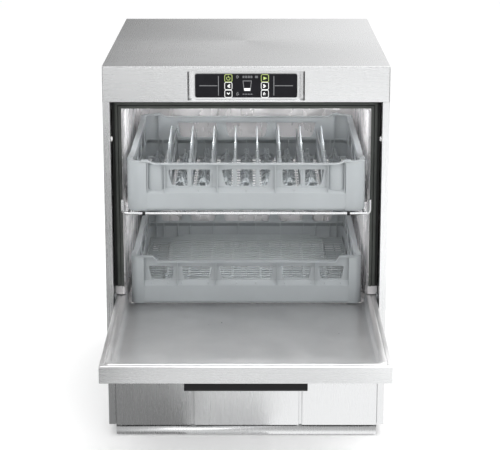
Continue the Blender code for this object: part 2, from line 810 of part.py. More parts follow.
def rack_shell(front, bottom, rim):
    """Tray with raised corners: outside, inside and the two dips in each rim."""
    back = front + 2 * RACK_HALF
    outer = rounded((-RACK_HALF, front, bottom), (RACK_HALF, back, rim + CORNER_RISE), 0.018, 2)
    inner = rounded(
        (-RACK_HALF + RACK_WALL, front + RACK_WALL, bottom + RACK_WALL),
        (RACK_HALF - RACK_WALL, back - RACK_WALL, rim + CORNER_RISE + 0.01),
        0.015,
        2,
    )
    corner = 0.060
    dips = [
        block(
            (-RACK_HALF + corner, front - 0.01, rim), (RACK_HALF - corner, back + 0.01, rim + 0.05)
        ),
        block(
            (-RACK_HALF - 0.01, front + corner, rim), (RACK_HALF + 0.01, back - corner, rim + 0.05)
        ),
    ]
    return outer, [inner, *dips]


def build_lower_rack():
    axis = pivot_at("lower_rack_slide", (0, LOWER_RACK_FRONT, LOWER_RACK_BOTTOM))
    front, bottom, rim = LOWER_RACK_FRONT, LOWER_RACK_BOTTOM, LOWER_RACK_RIM
    back = front + 2 * RACK_HALF
    shell, cuts = rack_shell(front, bottom, rim)
    half_widths = [(-0.206, -0.150), (-0.138, -0.075), (-0.060, 0.060), (0.075, 0.138), (0.150, 0.206)]
    z_low, z_high = bottom + 0.047, bottom + 0.080
    windows = rack_wall_windows(half_widths, z_low, z_high, front - 0.01, back + 0.01)
    side_windows = [
        block((-0.3, front + y, z_low), (0.3, front + y + 0.070, z_high))
        for y in (0.070, 0.165, 0.260, 0.355)
    ]
    cells = together(
        block((x, y, bottom - 0.01), (x + 0.080, y + 0.080, bottom + 0.02))
        for x in [-0.226 + 0.093 * step for step in range(5)]
        for y in [front + 0.024 + 0.093 * step for step in range(5)]
    )
    cuts += [together(windows), together(side_windows), cells]
    solid("lower_rack", "rack_plastic", shell, cut=cuts, pivot=axis)

    plate_low = bottom + 0.012
    plate = block((-0.240, front + 0.010, plate_low), (0.240, back - 0.010, plate_low + 0.006))
    slots = together(
        block((-0.228, y, plate_low - 0.01), (0.228, y + 0.012, plate_low + 0.01))
        for y in [front + 0.022 + 0.0225 * step for step in range(21)]
    )
    ribs = together(
        block((x, front + 0.014, bottom + RACK_WALL + GAP), (x + 0.004, back - 0.014, plate_low + 0.004))
        for x in (-0.160, -0.002, 0.156)
    )
    solid("plate_insert", "insert_plastic", plate, add=[ribs], cut=[slots], pivot=axis)


def build_upper_rack():
    carrier_axis = pivot_at("carrier_slide", (0, CARRIER_FRONT, CARRIER_Z))
    back = UPPER_RACK_FRONT + 2 * RACK_HALF + 0.004
    left, right = -0.2460, 0.2460
    front_bar = rod((left, CARRIER_FRONT, CARRIER_Z), (right, CARRIER_FRONT, CARRIER_Z), CARRIER_WIRE)
    bars = [
        rod((x, CARRIER_FRONT, CARRIER_Z), (x, back, CARRIER_Z), CARRIER_WIRE * scale)
        for x, scale in ((left, 0.99), (-0.10, 0.9), (0.10, 0.9), (right, 0.99))
    ]
    rear_bar = rod((left, back, CARRIER_Z), (right, back, CARRIER_Z), CARRIER_WIRE)
    short_bar = rod(
        (-0.13, CARRIER_FRONT + 0.025, CARRIER_Z - 0.003),
        (0.13, CARRIER_FRONT + 0.025, CARRIER_Z - 0.003),
        CARRIER_WIRE * 0.85,
    )
    solid("rack_carrier", "chrome", front_bar, add=[*bars, rear_bar, short_bar], pivot=carrier_axis)

    axis = pivot_at("upper_rack_slide", (0, UPPER_RACK_FRONT, UPPER_RACK_BOTTOM))
    front, bottom, rim = UPPER_RACK_FRONT, UPPER_RACK_BOTTOM, UPPER_RACK_RIM
    back = front + 2 * RACK_HALF
    shell, cuts = rack_shell(front, bottom, rim)
    edges = [(-0.172, -0.072), (-0.055, 0.055), (0.072, 0.172)]
    z_low, z_high = bottom + 0.050, bottom + 0.085
    windows = rack_wall_windows(edges, z_low, z_high, front - 0.01, back + 0.01)
    side_windows = [
        block((-0.3, front + y, z_low), (0.3, front + y + 0.100, z_high))
        for y in (0.080, 0.200, 0.320)
    ]
    columns = [(column - 3.5) * DIVIDER_PITCH for column in range(8)]
    cells = together(
        block((x, y, bottom - 0.01), (x + 0.030, y + 0.030, bottom + 0.02))
        for x in [column + 0.0085 for column in columns[:-1]]
        for y in [front + 0.040 + 0.065 * row for row in range(7)]
    )
    cuts += [together(windows), together(side_windows), cells]
    made = solid("upper_rack", "rack_plastic", shell, cut=cuts, pivot=axis)
    middle = (front + back) / 2
    slope = [(RACK_HALF - 0.001, 0.001), (RACK_HALF - 0.001, 0.045)]
    slope += [(RACK_HALF - 0.030, 0.088), (0.020, DIVIDER_PEAK)]
    outline = [(middle - away, bottom + up) for away, up in slope]
    outline += [(middle + away, bottom + up) for away, up in reversed(slope)]
    dividers = together(prism(outline, 0, x - 0.001, x + 0.001) for x in columns)
    combine(made, dividers, "UNION")


def main():
    clear_scene()
    build_cabinet()
    build_tank()
    build_spray()
    build_plant()
    build_door()
    build_lower_rack()
    build_upper_rack()


main()
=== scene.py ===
import functools
import json
import math

import bmesh
import bpy
from mathutils import Matrix, Vector

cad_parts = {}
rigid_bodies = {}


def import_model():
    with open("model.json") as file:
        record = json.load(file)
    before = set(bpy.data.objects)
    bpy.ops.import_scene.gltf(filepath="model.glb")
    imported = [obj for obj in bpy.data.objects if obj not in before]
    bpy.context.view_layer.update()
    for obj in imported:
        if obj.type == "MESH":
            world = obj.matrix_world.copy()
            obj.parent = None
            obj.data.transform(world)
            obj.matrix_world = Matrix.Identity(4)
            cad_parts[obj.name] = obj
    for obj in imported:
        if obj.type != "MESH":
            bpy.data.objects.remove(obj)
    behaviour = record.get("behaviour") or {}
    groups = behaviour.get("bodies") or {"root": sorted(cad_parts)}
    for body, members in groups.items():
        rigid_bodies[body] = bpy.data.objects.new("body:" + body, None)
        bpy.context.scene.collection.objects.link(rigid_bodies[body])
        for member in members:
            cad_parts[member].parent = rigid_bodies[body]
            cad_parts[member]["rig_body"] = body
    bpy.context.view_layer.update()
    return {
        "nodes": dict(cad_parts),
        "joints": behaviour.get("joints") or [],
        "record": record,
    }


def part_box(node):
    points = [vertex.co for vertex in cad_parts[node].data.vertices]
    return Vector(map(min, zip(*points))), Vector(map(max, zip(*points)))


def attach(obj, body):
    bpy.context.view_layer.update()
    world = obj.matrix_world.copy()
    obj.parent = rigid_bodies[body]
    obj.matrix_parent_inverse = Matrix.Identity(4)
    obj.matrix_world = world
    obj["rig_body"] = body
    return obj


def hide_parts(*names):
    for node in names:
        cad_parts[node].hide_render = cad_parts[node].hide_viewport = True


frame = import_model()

# Places read from the frame. FRONT is the cabinet's front plane.
TOP_LOW, TOP_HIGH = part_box("top_panel")
FRONT, REAR = TOP_LOW.y, TOP_HIGH.y
TANK_LOW, TANK_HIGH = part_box("wash_tank")
LOWER_LOW, LOWER_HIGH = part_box("lower_rack")
UPPER_LOW, UPPER_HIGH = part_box("upper_rack")
CARRIER_LOW, CARRIER_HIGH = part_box("rack_carrier")
GLASS_LOW, GLASS_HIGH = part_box("control_panel")
HINGE = next(joint for joint in frame["joints"] if joint["name"] == "door_hinge")["pos_m"]

# Sheet metal and the chamber, in metres.
TANK_WALL = 0.0012
CHAMBER_RADIUS = 0.012
CHAMBER_HALF = 0.2623
CHAMBER_LIP_TOP = 0.2872
SILL_Z = HINGE[2] + 0.0012
RIDGE_HALF, RIDGE_LOW, RIDGE_HIGH = 0.19, 0.31, 0.69
GASKET_WIDTH = 0.0199
RECESS_MARGIN = 0.0035
FASCIA_SHEET = 0.0010
PLINTH_SETBACK = 0.004
PLINTH_FOLD = 0.012

# Door, with the handle stretched down to the photograph's height.
HANDLE_DEEPER = 1.25
PAN_DEPTH = 0.022
RIM_WIDTH = 0.024
CORNER_RISE = 0.012

# Wire carrier: how far its upturned front ends stand beside the rack and above the frame.
CARRIER_WIRE = 0.0028
CARRIER_BESIDE = 0.0085
CARRIER_UPTURN = 0.030

# ---- materials


def node(tree, kind, **settings):
    made = tree.nodes.new(kind)
    for name, value in settings.items():
        if hasattr(made, name):
            setattr(made, name, value)
        else:
            made.inputs[name.replace("_", " ")].default_value = value
    return made


def principled(name, colour, roughness, metallic=0.0, **sockets):
    made = bpy.data.materials.new(name)
    made.use_nodes = True
    shader = made.node_tree.nodes["Principled BSDF"]
    sockets |= {"Base_Color": (*colour, 1), "Roughness": roughness, "Metallic": metallic}
    for socket, value in sockets.items():
        shader.inputs[socket.replace("_", " ")].default_value = value
    return made, made.node_tree, shader


def noise(tree, scale, detail=3.0, rough=0.55):
    """Noise in object space, with its own scale on each axis, per metre."""
    place = node(tree, "ShaderNodeTexCoord")
    stretch = node(tree, "ShaderNodeMapping", Scale=scale)
    texture = node(tree, "ShaderNodeTexNoise", Scale=1.0, Detail=detail, Roughness=rough)
    tree.links.new(place.outputs["Object"], stretch.inputs["Vector"])
    tree.links.new(stretch.outputs["Vector"], texture.inputs["Vector"])
    return texture.outputs["Fac"]


def ranged(tree, value, low, high, from_low=0.3, from_high=0.7):
    """The value carried from its own range to this one."""
    ends = {"From_Min": from_low, "From_Max": from_high, "To_Min": low, "To_Max": high}
    spread = node(tree, "ShaderNodeMapRange", **ends)
    tree.links.new(value, spread.inputs["Value"])
    return spread.outputs["Result"]


def summed(tree, first, second, operation="ADD"):
    """The sum of two sockets, or what another operation makes of them."""
    made = node(tree, "ShaderNodeMath", operation=operation)
    tree.links.new(first, made.inputs[0])
    tree.links.new(second, made.inputs[1])
    return made.outputs[0]


def tinted(tree, shader, colour, factor):
    """Base colour times a factor that varies over the surface."""
    mix = node(tree, "ShaderNodeMix", data_type="RGBA", blend_type="MULTIPLY", Factor=1.0)
    mix.inputs[6].default_value = (*colour, 1)
    tree.links.new(factor, mix.inputs[7])
    tree.links.new(mix.outputs[2], shader.inputs["Base Color"])


def bumped(tree, shader, height, strength, distance):
    bump = node(tree, "ShaderNodeBump", Strength=strength, Distance=distance)
    tree.links.new(height, bump.inputs["Height"])
    tree.links.new(bump.outputs["Normal"], shader.inputs["Normal"])


def finished(name, colour, roughness, gloss, shade, bump, metallic=0.0, **sockets):
    """A skin whose gloss and shade follow noise patterns: gloss and shade list (pattern, low, high)."""
    made, tree, shader = principled(name, colour, roughness, metallic, **sockets)
    drawn = functools.cache(lambda pattern: noise(tree, *pattern))

    def mixed(ranges, operation):
        parts = [ranged(tree, drawn(pattern), low, high) for pattern, low, high in ranges]
        return functools.reduce(lambda a, b: summed(tree, a, b, operation), parts)

    tree.links.new(mixed(gloss, "ADD"), shader.inputs["Roughness"])
    tinted(tree, shader, colour, mixed(shade, "MULTIPLY"))
    pattern, strength, depth = bump
    bumped(tree, shader, drawn(pattern), strength, depth)
    return made


GRAIN = 650.0
ALONG_GRAIN = 5.0


def brushed(name, colour, axis, roughness, spread=0.022, strength=0.018):
    """Sheet steel brushed along one axis, with faint clouds of wear in its gloss."""
    lines = (tuple(ALONG_GRAIN if index == axis else GRAIN for index in range(3)), 4.0, 0.65)
    clouds = ((7.0, 7.0, 7.0), 4.0)
    gloss = [(lines, roughness - spread, roughness + spread), (clouds, -0.015, 0.02)]
    shade = [(lines, 0.985, 1.005), (clouds, 0.99, 1.005)]
    bump = (lines, strength, 0.00008)
    return finished(name, colour, roughness, gloss, shade, bump, 1.0, Anisotropic=0.35)


def polished(name, colour, roughness, ripple=0.10, metallic=1.0):
    """Bright formed steel, with a slow ripple from pressing and dried water marks."""
    ripples, marks = ((11.0, 11.0, 11.0), 2.0, 0.4), ((24.0, 24.0, 9.0), 4.0, 0.6)
    gloss = [(marks, roughness - 0.02, roughness + 0.04), (ripples, -0.01, 0.02)]
    shade, bump = [(marks, 0.96, 1.02)], (ripples, ripple, 0.004)
    return finished(name, colour, roughness, gloss, shade, bump, metallic)


def moulded(name, colour, roughness, texture=0.08, scale=900.0, subsurface=0.0, specular=0.5):
    """Moulded plastic: fine spark texture, faint flow marks and small gloss changes."""
    fine, flow = ((scale, scale, scale), 3.0, 0.6), ((14.0, 14.0, 9.0), 3.0)
    gloss = [(fine, roughness - 0.05, roughness + 0.05), (flow, -0.04, 0.04)]
    shade, bump = [(flow, 0.96, 1.03)], (fine, texture, 0.0001)
    depth = {"Subsurface_Weight": subsurface, "Subsurface_Radius": (0.004, 0.004, 0.005)}
    return finished(name, colour, roughness, gloss, shade, bump, Specular_IOR_Level=specular, **depth)


def rubber(name, colour):
    """Matt rubber with a fine grain and traces of dust."""
    fine, dust = ((600.0, 600.0, 600.0), 4.0, 0.7), ((40.0, 40.0, 40.0), 4.0)
    gloss, shade, bump = [(dust, 0.50, 0.72)], [(dust, 0.85, 1.25)], (fine, 0.25, 0.0002)
    return finished(name, colour, 0.62, gloss, shade, bump, Specular_IOR_Level=0.3)


def glossy_panel(name, colour):
    """Black printed panel under a clear gloss skin, with hairline wear."""
    hair, smear = ((900.0, 30.0, 60.0), 5.0, 0.7), ((25.0, 25.0, 25.0), 3.0)
    gloss = [(hair, 0.06, 0.16), (smear, 0.0, 0.06)]
    shade, bump = [(smear, 0.8, 1.3)], (smear, 0.03, 0.0005)
    coat = {"Specular_IOR_Level": 0.08, "Coat_Weight": 0.04, "Coat_Roughness": 0.04}
    return finished(name, colour, 0.12, gloss, shade, bump, **coat)


def cast(name, colour, metallic=0.3):
    """Painted casting, coarse to the touch and unevenly soiled."""
    coarse, dirt = ((260.0, 260.0, 260.0), 5.0, 0.7), ((30.0, 30.0, 30.0), 4.0)
    gloss, shade, bump = [(dirt, 0.45, 0.65)], [(dirt, 0.8, 1.15)], (coarse, 0.3, 0.0005)
    return finished(name, colour, 0.55, gloss, shade, bump, metallic)


STEEL = (0.64, 0.645, 0.65)
SKIN = {
    "steel_x": brushed("steel_brushed_across", STEEL, 0, 0.27),
    "steel_y": brushed("steel_brushed_deep", STEEL, 1, 0.27),
    "steel_z": brushed("steel_brushed_up", STEEL, 2, 0.27),
    "chamber": polished("chamber_steel_bright", (0.86, 0.845, 0.85), 0.26, 0.015, 0.45),
    "door_inside": polished("door_steel_bright", (0.87, 0.865, 0.865), 0.30, 0.05, 0.8),
    "chrome": polished("chrome_wire", (0.50, 0.505, 0.51), 0.18, 0.02),
    "rack": moulded("rack_plastic_grey", (0.335, 0.358, 0.370), 0.45, subsurface=0.12),
    "insert": moulded("insert_plastic_light", (0.375, 0.400, 0.412), 0.48, subsurface=0.10),
    "black": moulded("black_plastic_satin", (0.009, 0.009, 0.010), 0.38, 0.15, 700.0, specular=0.12),
    "rubber": rubber("gasket_rubber_dark", (0.012, 0.013, 0.012)),
    "lip": rubber("gasket_rubber_lip", (0.055, 0.060, 0.055)),
    "glass": glossy_panel("control_panel_black", (0.008, 0.008, 0.010)),
    "white": moulded("white_plastic_satin", (0.80, 0.80, 0.78), 0.35, 0.06, 800.0, 0.1),
    "board": moulded("circuit_board_green", (0.02, 0.16, 0.06), 0.35, 0.2, 500.0),
    "cast": cast("painted_casting_grey", (0.30, 0.31, 0.32)),
    "brass": polished("brass_turned", (0.78, 0.58, 0.26), 0.22, 0.04),
    "print_green": moulded("print_green", (0.42, 0.52, 0.16), 0.5, 0.05, 1200.0),
    "print_white": moulded("print_white", (0.85, 0.86, 0.86), 0.5, 0.05, 1200.0),
    "print_grey": moulded("print_grey", (0.22, 0.225, 0.235), 0.5, 0.05, 1200.0),
}
# The green and white prints also give off a faint light in their own colour: a painted glow, not a lamp.
for printed, glow in (("print_green", 0.25), ("print_white", 0.20)):
    lit = SKIN[printed].node_tree.nodes["Principled BSDF"]
    lit.inputs["Emission Color"].default_value = lit.inputs["Base Color"].default_value
    lit.inputs["Emission Strength"].default_value = glow

# ---- shapes

SHARP_ANGLE = 32
BEVEL_ANGLE = 40
QUARTER = 0.5 * math.pi
FACE_UP = Matrix.Rotation(QUARTER, 4, "X")


def arc(x, y, radius, start, turn, steps):
    """Points along part of a circle, its angles in radians."""
    angles = [start + turn * step / steps for step in range(steps + 1)]
    return [(x + radius * math.cos(angle), y + radius * math.sin(angle)) for angle in angles]


def eased(before, corner, after, reach, steps):
    """Points that round one corner of a route, over this reach before and after it."""
    into = corner + (before - corner).normalized() * reach
    out = corner + (after - corner).normalized() * reach
    curve = [step / steps for step in range(steps + 1)]
    return [into * (1 - t) ** 2 + corner * 2 * t * (1 - t) + out * t**2 for t in curve]


def block(low, high, edge=0.0):
    shape = bmesh.new()
    bmesh.ops.create_cube(shape, size=1)
    size = [b - a for a, b in zip(low, high)]
    middle = [(a + b) / 2 for a, b in zip(low, high)]
    moved(shape, Matrix.Translation(middle) @ Matrix.Diagonal((*size, 1)))
    if edge:
        bmesh.ops.bevel(shape, geom=shape.edges[:], offset=edge, segments=2, profile=0.5, affect="EDGES")
    return shape


def moved(shape, matrix):
    bmesh.ops.transform(shape, matrix=matrix, verts=shape.verts)
    return shape


def upright(y):
    """Stands a plate drawn in X and Z at this y."""
    return Matrix.Translation((0, y, 0)) @ FACE_UP


def shape_of(curve):
    """The curve's surface as an editable shape; the curve itself is used up."""
    holder = bpy.data.objects.new("holder", curve)
    mesh = bpy.data.meshes.new_from_object(holder)
    shape = bmesh.new()
    shape.from_mesh(mesh)
    bmesh.ops.remove_doubles(shape, verts=shape.verts, dist=1e-6)
    bpy.data.objects.remove(holder)
    bpy.data.curves.remove(curve)
    bpy.data.meshes.remove(mesh)
    return shape


def plate(outlines, thickness, edge=0.0, place=None):
    """A flat sheet about z = 0: the first outline less the others, with rounded edges."""
    curve = bpy.data.curves.new("plate", "CURVE")
    curve.dimensions = "2D"
    curve.fill_mode = "BOTH"
    curve.extrude = thickness / 2 - edge
    curve.bevel_depth = edge
    curve.bevel_resolution = 1
    curve.offset = -edge
    for outline in outlines:
        spline = curve.splines.new("POLY")
        spline.points.add(len(outline) - 1)
        for point, (x, y) in zip(spline.points, outline):
            point.co = (x, y, 0, 1)
        spline.use_cyclic_u = True
    return moved(shape_of(curve), place or Matrix())


def wire(points, radius, corner=0.0, closed=False, sides=3):
    """A round wire along straight runs with rounded corners."""
    route = rounded_route([Vector(point) for point in points], corner, closed) if corner else points
    curve = bpy.data.curves.new("wire", "CURVE")
    curve.dimensions = "3D"
    curve.bevel_depth = radius
    curve.bevel_resolution = sides
    curve.use_fill_caps = True
    spline = curve.splines.new("POLY")
    spline.points.add(len(route) - 1)
    for point, place in zip(spline.points, route):
        point.co = (*place, 1)
    spline.use_cyclic_u = closed
    return shape_of(curve)


def rounded_route(points, radius, closed=False, steps=6):
    corners = list(range(len(points))) if closed else list(range(1, len(points) - 1))
    route = [] if closed else [points[0]]
    for index in corners:
        before, corner, after = (points[(index + step) % len(points)] for step in (-1, 0, 1))
        route += eased(before, corner, after, radius, steps)
    return route if closed else route + [points[-1]]


def turned(profile, centre, direction=(0, 0, 1), sides=32):
    """A closed outline of (radius, height) turned about an axis."""
    shape = bmesh.new()
    rings = []
    for radius, height in profile:
        if radius == 0:
            rings.append([shape.verts.new((0, 0, height))])
            continue
        angles = [2 * math.pi * step / sides for step in range(sides)]
        circle = [(radius * math.cos(a), radius * math.sin(a), height) for a in angles]
        rings.append([shape.verts.new(point) for point in circle])
    for low, high in zip(rings, rings[1:] + rings[:1]):
        if len(low) == 1 and len(high) == 1:
            continue
        for step in range(sides):
            after = (step + 1) % sides
            corners = [low[step % len(low)], low[after % len(low)]]
            corners += [high[after % len(high)], high[step % len(high)]]
            shape.faces.new(list(dict.fromkeys(corners)))
    turn = Vector((0, 0, 1)).rotation_difference(Vector(direction)).to_matrix().to_4x4()
    return moved(shape, Matrix.Translation(centre) @ turn)


def together(shapes):
    joined = bmesh.new()
    for shape in shapes:
        held = bpy.data.meshes.new("held")
        shape.to_mesh(held)
        joined.from_mesh(held)
        bpy.data.meshes.remove(held)
        shape.free()
    return joined


def added(name, data):
    """A new object in the scene."""
    made = bpy.data.objects.new(name, data)
    bpy.context.scene.collection.objects.link(made)
    return made


def mesh_of(name, shape):
    mesh = bpy.data.meshes.new(name)
    bmesh.ops.recalc_face_normals(shape, faces=shape.faces)
    shape.to_mesh(mesh)
    shape.free()
    return mesh


def piece(name, shape, skin, body, replaced=()):
    """A piece of the visual model, riding on a CAD body."""
    mesh = mesh_of(name, shape)
    made = added(name, mesh)
    mesh.materials.append(SKIN[skin])
    mesh.shade_smooth()
    mesh.set_sharp_from_angle(angle=math.radians(SHARP_ANGLE))
    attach(made, body)
    if replaced:
        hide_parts(*replaced)
    return made


def refined(name, skin, width=0.0006, segments=2):
    """A CAD node with its flat faces made whole and its edges rounded, standing in for that node."""
    source = frame["nodes"][name]
    shape = bmesh.new()
    shape.from_mesh(source.data)
    bmesh.ops.remove_doubles(shape, verts=shape.verts, dist=1e-5)
    flat = math.radians(0.5)
    bmesh.ops.dissolve_limit(shape, angle_limit=flat, verts=shape.verts, edges=shape.edges)
    slot = source.data.materials[0].name.split(".")[0] if source.data.materials else None
    known = {material["slot"] for material in frame["record"]["materials"]}
    slot = slot if slot in known else None
    made = piece(f"{name}_finish", shape, skin, source["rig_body"], [name])
    if width:
        rounded_edges(made, width, segments)
    return made


# ---- camera, light, floor

CAMERA_ASIDE = 0.008
CAMERA_AWAY = 3.30
CAMERA_HEIGHT = 1.392
CAMERA_PITCH = 13.5
CAMERA_SHIFT = -0.11
FOCAL = 116.1


def add_camera():
    data = bpy.data.cameras.new("camera")
    data.lens = FOCAL
    data.sensor_width = 36.0
    data.shift_y = CAMERA_SHIFT
    data.clip_end = 60
    made = added("camera", data)
    made.location = (CAMERA_ASIDE, FRONT - CAMERA_AWAY, CAMERA_HEIGHT)
    made.rotation_euler = (math.radians(90 - CAMERA_PITCH), 0, 0)
    bpy.context.scene.camera = made


def area_light(name, place, target, size, power, mirrored=True):
    """A soft light that the camera never sees; one that isn't mirrored leaves no reflection either."""
    data = bpy.data.lights.new(name, "AREA")
    data.shape = "RECTANGLE"
    data.size, data.size_y = size
    data.energy = power
    made = added(name, data)
    made.location = place
    aim = Vector(target) - Vector(place)
    made.rotation_euler = aim.to_track_quat("-Z", "Y").to_euler()
    made.visible_camera = False
    made.visible_glossy = mirrored


def stage_sheet(name, outline, level, colour, roughness, glow):
    """A flat sheet of the studio, its outline in X and Y, giving off white light."""
    white = (1, 1, 1, 1)
    skin = principled(name, colour, roughness, Emission_Strength=glow, Emission_Color=white)[0]
    mesh = bpy.data.meshes.new(name)
    mesh.from_pydata([(x, y, level) for x, y in outline], [], [range(len(outline))])
    mesh.materials.append(skin)
    made = added(name, mesh)
    return made


def blended(tree, factor, first, second):
    """A number that goes from first to second, each a value or a socket."""
    mix = node(tree, "ShaderNodeMix", data_type="FLOAT")
    tree.links.new(factor, mix.inputs[0])
    for socket, value in ((mix.inputs[2], first), (mix.inputs[3], second)):
        if isinstance(value, float):
            socket.default_value = value
        else:
            tree.links.new(value, socket)
    return mix.outputs[0]


def add_world():
    """White to the camera; in reflections graded from left to right, and dimmer at the sides."""
    world = bpy.data.worlds.new("studio")
    world.use_nodes = True
    bpy.context.scene.world = world
    tree = world.node_tree
    back = tree.nodes["Background"]
    back.inputs["Color"].default_value = (1, 1, 1, 1)
    place = node(tree, "ShaderNodeTexCoord")
    split = node(tree, "ShaderNodeSeparateXYZ")
    tree.links.new(place.outputs["Generated"], split.inputs["Vector"])
    aside = node(tree, "ShaderNodeMath", operation="ABSOLUTE")
    tree.links.new(split.outputs["X"], aside.inputs[0])
    sideways = ranged(tree, split.outputs["X"], 0.12, 1.30, -0.14, 0.13)
    behind = ranged(tree, split.outputs["Y"], 0.0, 1.0, -0.2, 0.2)
    above = ranged(tree, split.outputs["Z"], 1.0, 1.40, 0.35, 0.75)
    far_aside = ranged(tree, aside.outputs[0], 0.0, 1.0, 0.28, 0.60)
    light = summed(tree, blended(tree, behind, 1.0, sideways), above, "MULTIPLY")
    light = blended(tree, far_aside, light, 0.62)
    seen = node(tree, "ShaderNodeLightPath").outputs["Is Camera Ray"]
    tree.links.new(blended(tree, seen, light, 1.0), back.inputs["Strength"])


FLOOR_REACH = 30.0
CARD_LEVEL = 0.002

# Cards on the floor before the machine, which only reflections show: their outlines, as X and
# distance before the front, and their glow. They give the steel its dark left and bright right.
CARDS = {
    "left_near": ([(-1.6, 0.0), (-0.13, 0.0), (-0.13, 0.62), (-0.36, 0.80), (-1.6, 0.80)], 0.24),
    "left_far": ([(-1.6, 0.81), (-0.36, 0.81), (-0.34, 1.40), (-0.26, 3.50), (-1.6, 3.50)], 0.03),
    "middle": (
        [(-0.34, 0.81), (0.33, 0.81), (0.42, 0.93), (0.42, 1.14), (0.34, 1.15), (0.33, 1.90), (-0.31, 1.90)],
        0.98,
    ),
    "right_near": ([(0.05, 0.0), (0.7, 0.0), (0.7, 0.80), (0.05, 0.80)], 1.30),
    "right_far": ([(0.43, 0.81), (0.9, 0.81), (0.9, 3.3), (0.34, 3.3), (0.34, 1.17), (0.43, 1.15)], 1.8),
    "back": ([(-1.6, 3.7), (1.6, 3.7), (1.6, 7.0), (-1.6, 7.0)], 1.12),
}


def add_studio():
    scene = bpy.context.scene
    scene.view_settings.view_transform = "Standard"
    scene.view_settings.look = "None"
    add_world()
    corners = ((-1, -1), (1, -1), (1, 1), (-1, 1))
    square = [(FLOOR_REACH * x, FLOOR_REACH * y) for x, y in corners]
    stage_sheet("studio_floor", square, 0.0, (0.96, 0.96, 0.96), 0.8, 0.14)
    for name, (outline, glow) in CARDS.items():
        before = [(x, FRONT - away) for x, away in outline]
        card = stage_sheet(f"studio_card_{name}", before, CARD_LEVEL, (0.02, 0.02, 0.02), 0.9, glow)
        card.visible_camera = card.visible_diffuse = card.visible_shadow = False

    middle = (0, FRONT + 0.2, 0.4)
    area_light("soft_top", (0.3, FRONT - 0.3, 3.2), middle, (3.0, 3.0), 46)
    area_light("soft_right", (3.2, FRONT - 1.6, 1.6), middle, (2.2, 2.6), 28, mirrored=False)
    area_light("soft_left", (-3.0, FRONT - 2.2, 1.4), middle, (1.2, 2.4), 16, mirrored=False)
    area_light("soft_front", (0.0, FRONT - 3.4, 1.8), middle, (2.8, 1.2), 22)
    # Three small lights inside, under the chamber's ceiling and under the carrier.
    mouth = TANK_LOW.y + 0.045
    area_light("soft_ceiling", (0, mouth, TANK_HIGH.z - 0.030), (0, REAR, 0.45), (0.46, 0.10), 1.0)
    area_light("soft_rear", (0, 0.24, TANK_HIGH.z - 0.035), (0, TANK_HIGH.y, 0.60), (0.46, 0.05), 0.22)
    area_light("soft_shelf", (0, mouth, CARRIER_LOW.z - 0.006), (0, REAR, 0.25), (0.42, 0.08), 0.8)


# ---- cabinet


def build_cabinet():
    refined("top_panel", "steel_y", 0.0012, 3)
    build_fascia()
    refined("side_panel_left", "steel_z", 0.0005)
    refined("side_panel_right", "steel_z", 0.0005)
    refined("lower_front_panel", "steel_z", 0.0008, 3)
    build_plinth()
    refined("rear_panel", "steel_z", 0.0004)
    refined("base_frame", "steel_x", 0.0004)
    for row in ("front", "rear"):
        for side in ("left", "right"):
            build_foot(f"foot_{row}_{side}")
    places = [(x, REAR - 0.0012, z) for x in (-0.27, 0.0, 0.27) for z in (0.06, 0.38, 0.715)]
    screws = [screw_head(place, (0, 1, 0)) for place in places]
    piece("rear_panel_screws", together(screws), "chrome", "cabinet")


def build_plinth():
    """Kick strip under the lower front panel, folded back at its ends."""
    low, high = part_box("plinth")
    panel_low, panel_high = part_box("lower_front_panel")
    half, front, top = panel_high.x, FRONT + PLINTH_SETBACK, panel_low.z - 0.0006

    def row_at(inset, z):
        x, y = half - inset, front + inset
        return [shape.verts.new(p) for p in ((-x, high.y, z), (-x, y, z), (x, y, z), (x, high.y, z))]

    shape = bmesh.new()
    bottom, upper, folded = row_at(0.0, low.z), row_at(0.0, top), row_at(PLINTH_FOLD, low.z)
    for row, other in ((bottom, upper), (folded, bottom)):
        for index in range(3):
            shape.faces.new((row[index], row[index + 1], other[index + 1], other[index]))
    made = piece("plinth_finish", shape, "steel_z", "cabinet", ["plinth"])
    sheet_metal(made, TANK_WALL)


def build_fascia():
    """Folded front band whose middle is sunk for the control panel, with scooped ends."""
    low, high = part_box("fascia")
    low_z, high_z = low.z + RECESS_MARGIN, GLASS_HIGH.z + 0.006
    half, depth, scoop = GLASS_HIGH.x + 0.0155, 0.010, 0.013
    quarter = [QUARTER * step / 8 for step in range(9)]
    curve = [(scoop * (1 - math.cos(a)) - half, low.y + depth * math.sin(a)) for a in quarter]
    profile = curve + [(-x, y) for x, y in reversed(curve)]
    shape = bmesh.new()
    bottom = [shape.verts.new((x, y, low_z)) for x, y in profile]
    top = [shape.verts.new((x, y, high_z)) for x, y in profile]
    for index in range(len(profile) - 1):
        shape.faces.new((bottom[index], bottom[index + 1], top[index + 1], top[index]))
    shape.faces.new(bottom)
    shape.faces.new(top)
    corners = [(low.x, low.z), (high.x, low.z), (high.x, high.z), (low.x, high.z)]
    outer = [shape.verts.new((x, low.y, z)) for x, z in corners]
    back = [shape.verts.new((x, high.y, z)) for x, z in corners]
    inner = [bottom[0], bottom[-1], top[-1], top[0]]
    for index in range(4):
        after = (index + 1) % 4
        shape.faces.new((outer[index], outer[after], inner[after], inner[index]))
        shape.faces.new((outer[index], outer[after], back[after], back[index]))
    made = piece("fascia_finish", shape, "steel_x", "cabinet", ["fascia"])
    rounded_edges(made, 0.0007, 3)
    sheet_metal(made, FASCIA_SHEET)


def sheet_metal(made, thickness, offset=-1):
    thick = made.modifiers.new("sheet", "SOLIDIFY")
    thick.thickness = thickness
    thick.offset = offset


def rounded_edges(made, width, segments):
    edges = made.modifiers.new("edges", "BEVEL")
    edges.width = width
    edges.segments = segments
    edges.limit_method = "ANGLE"
    edges.angle_limit = math.radians(BEVEL_ANGLE)
    edges.harden_normals = True


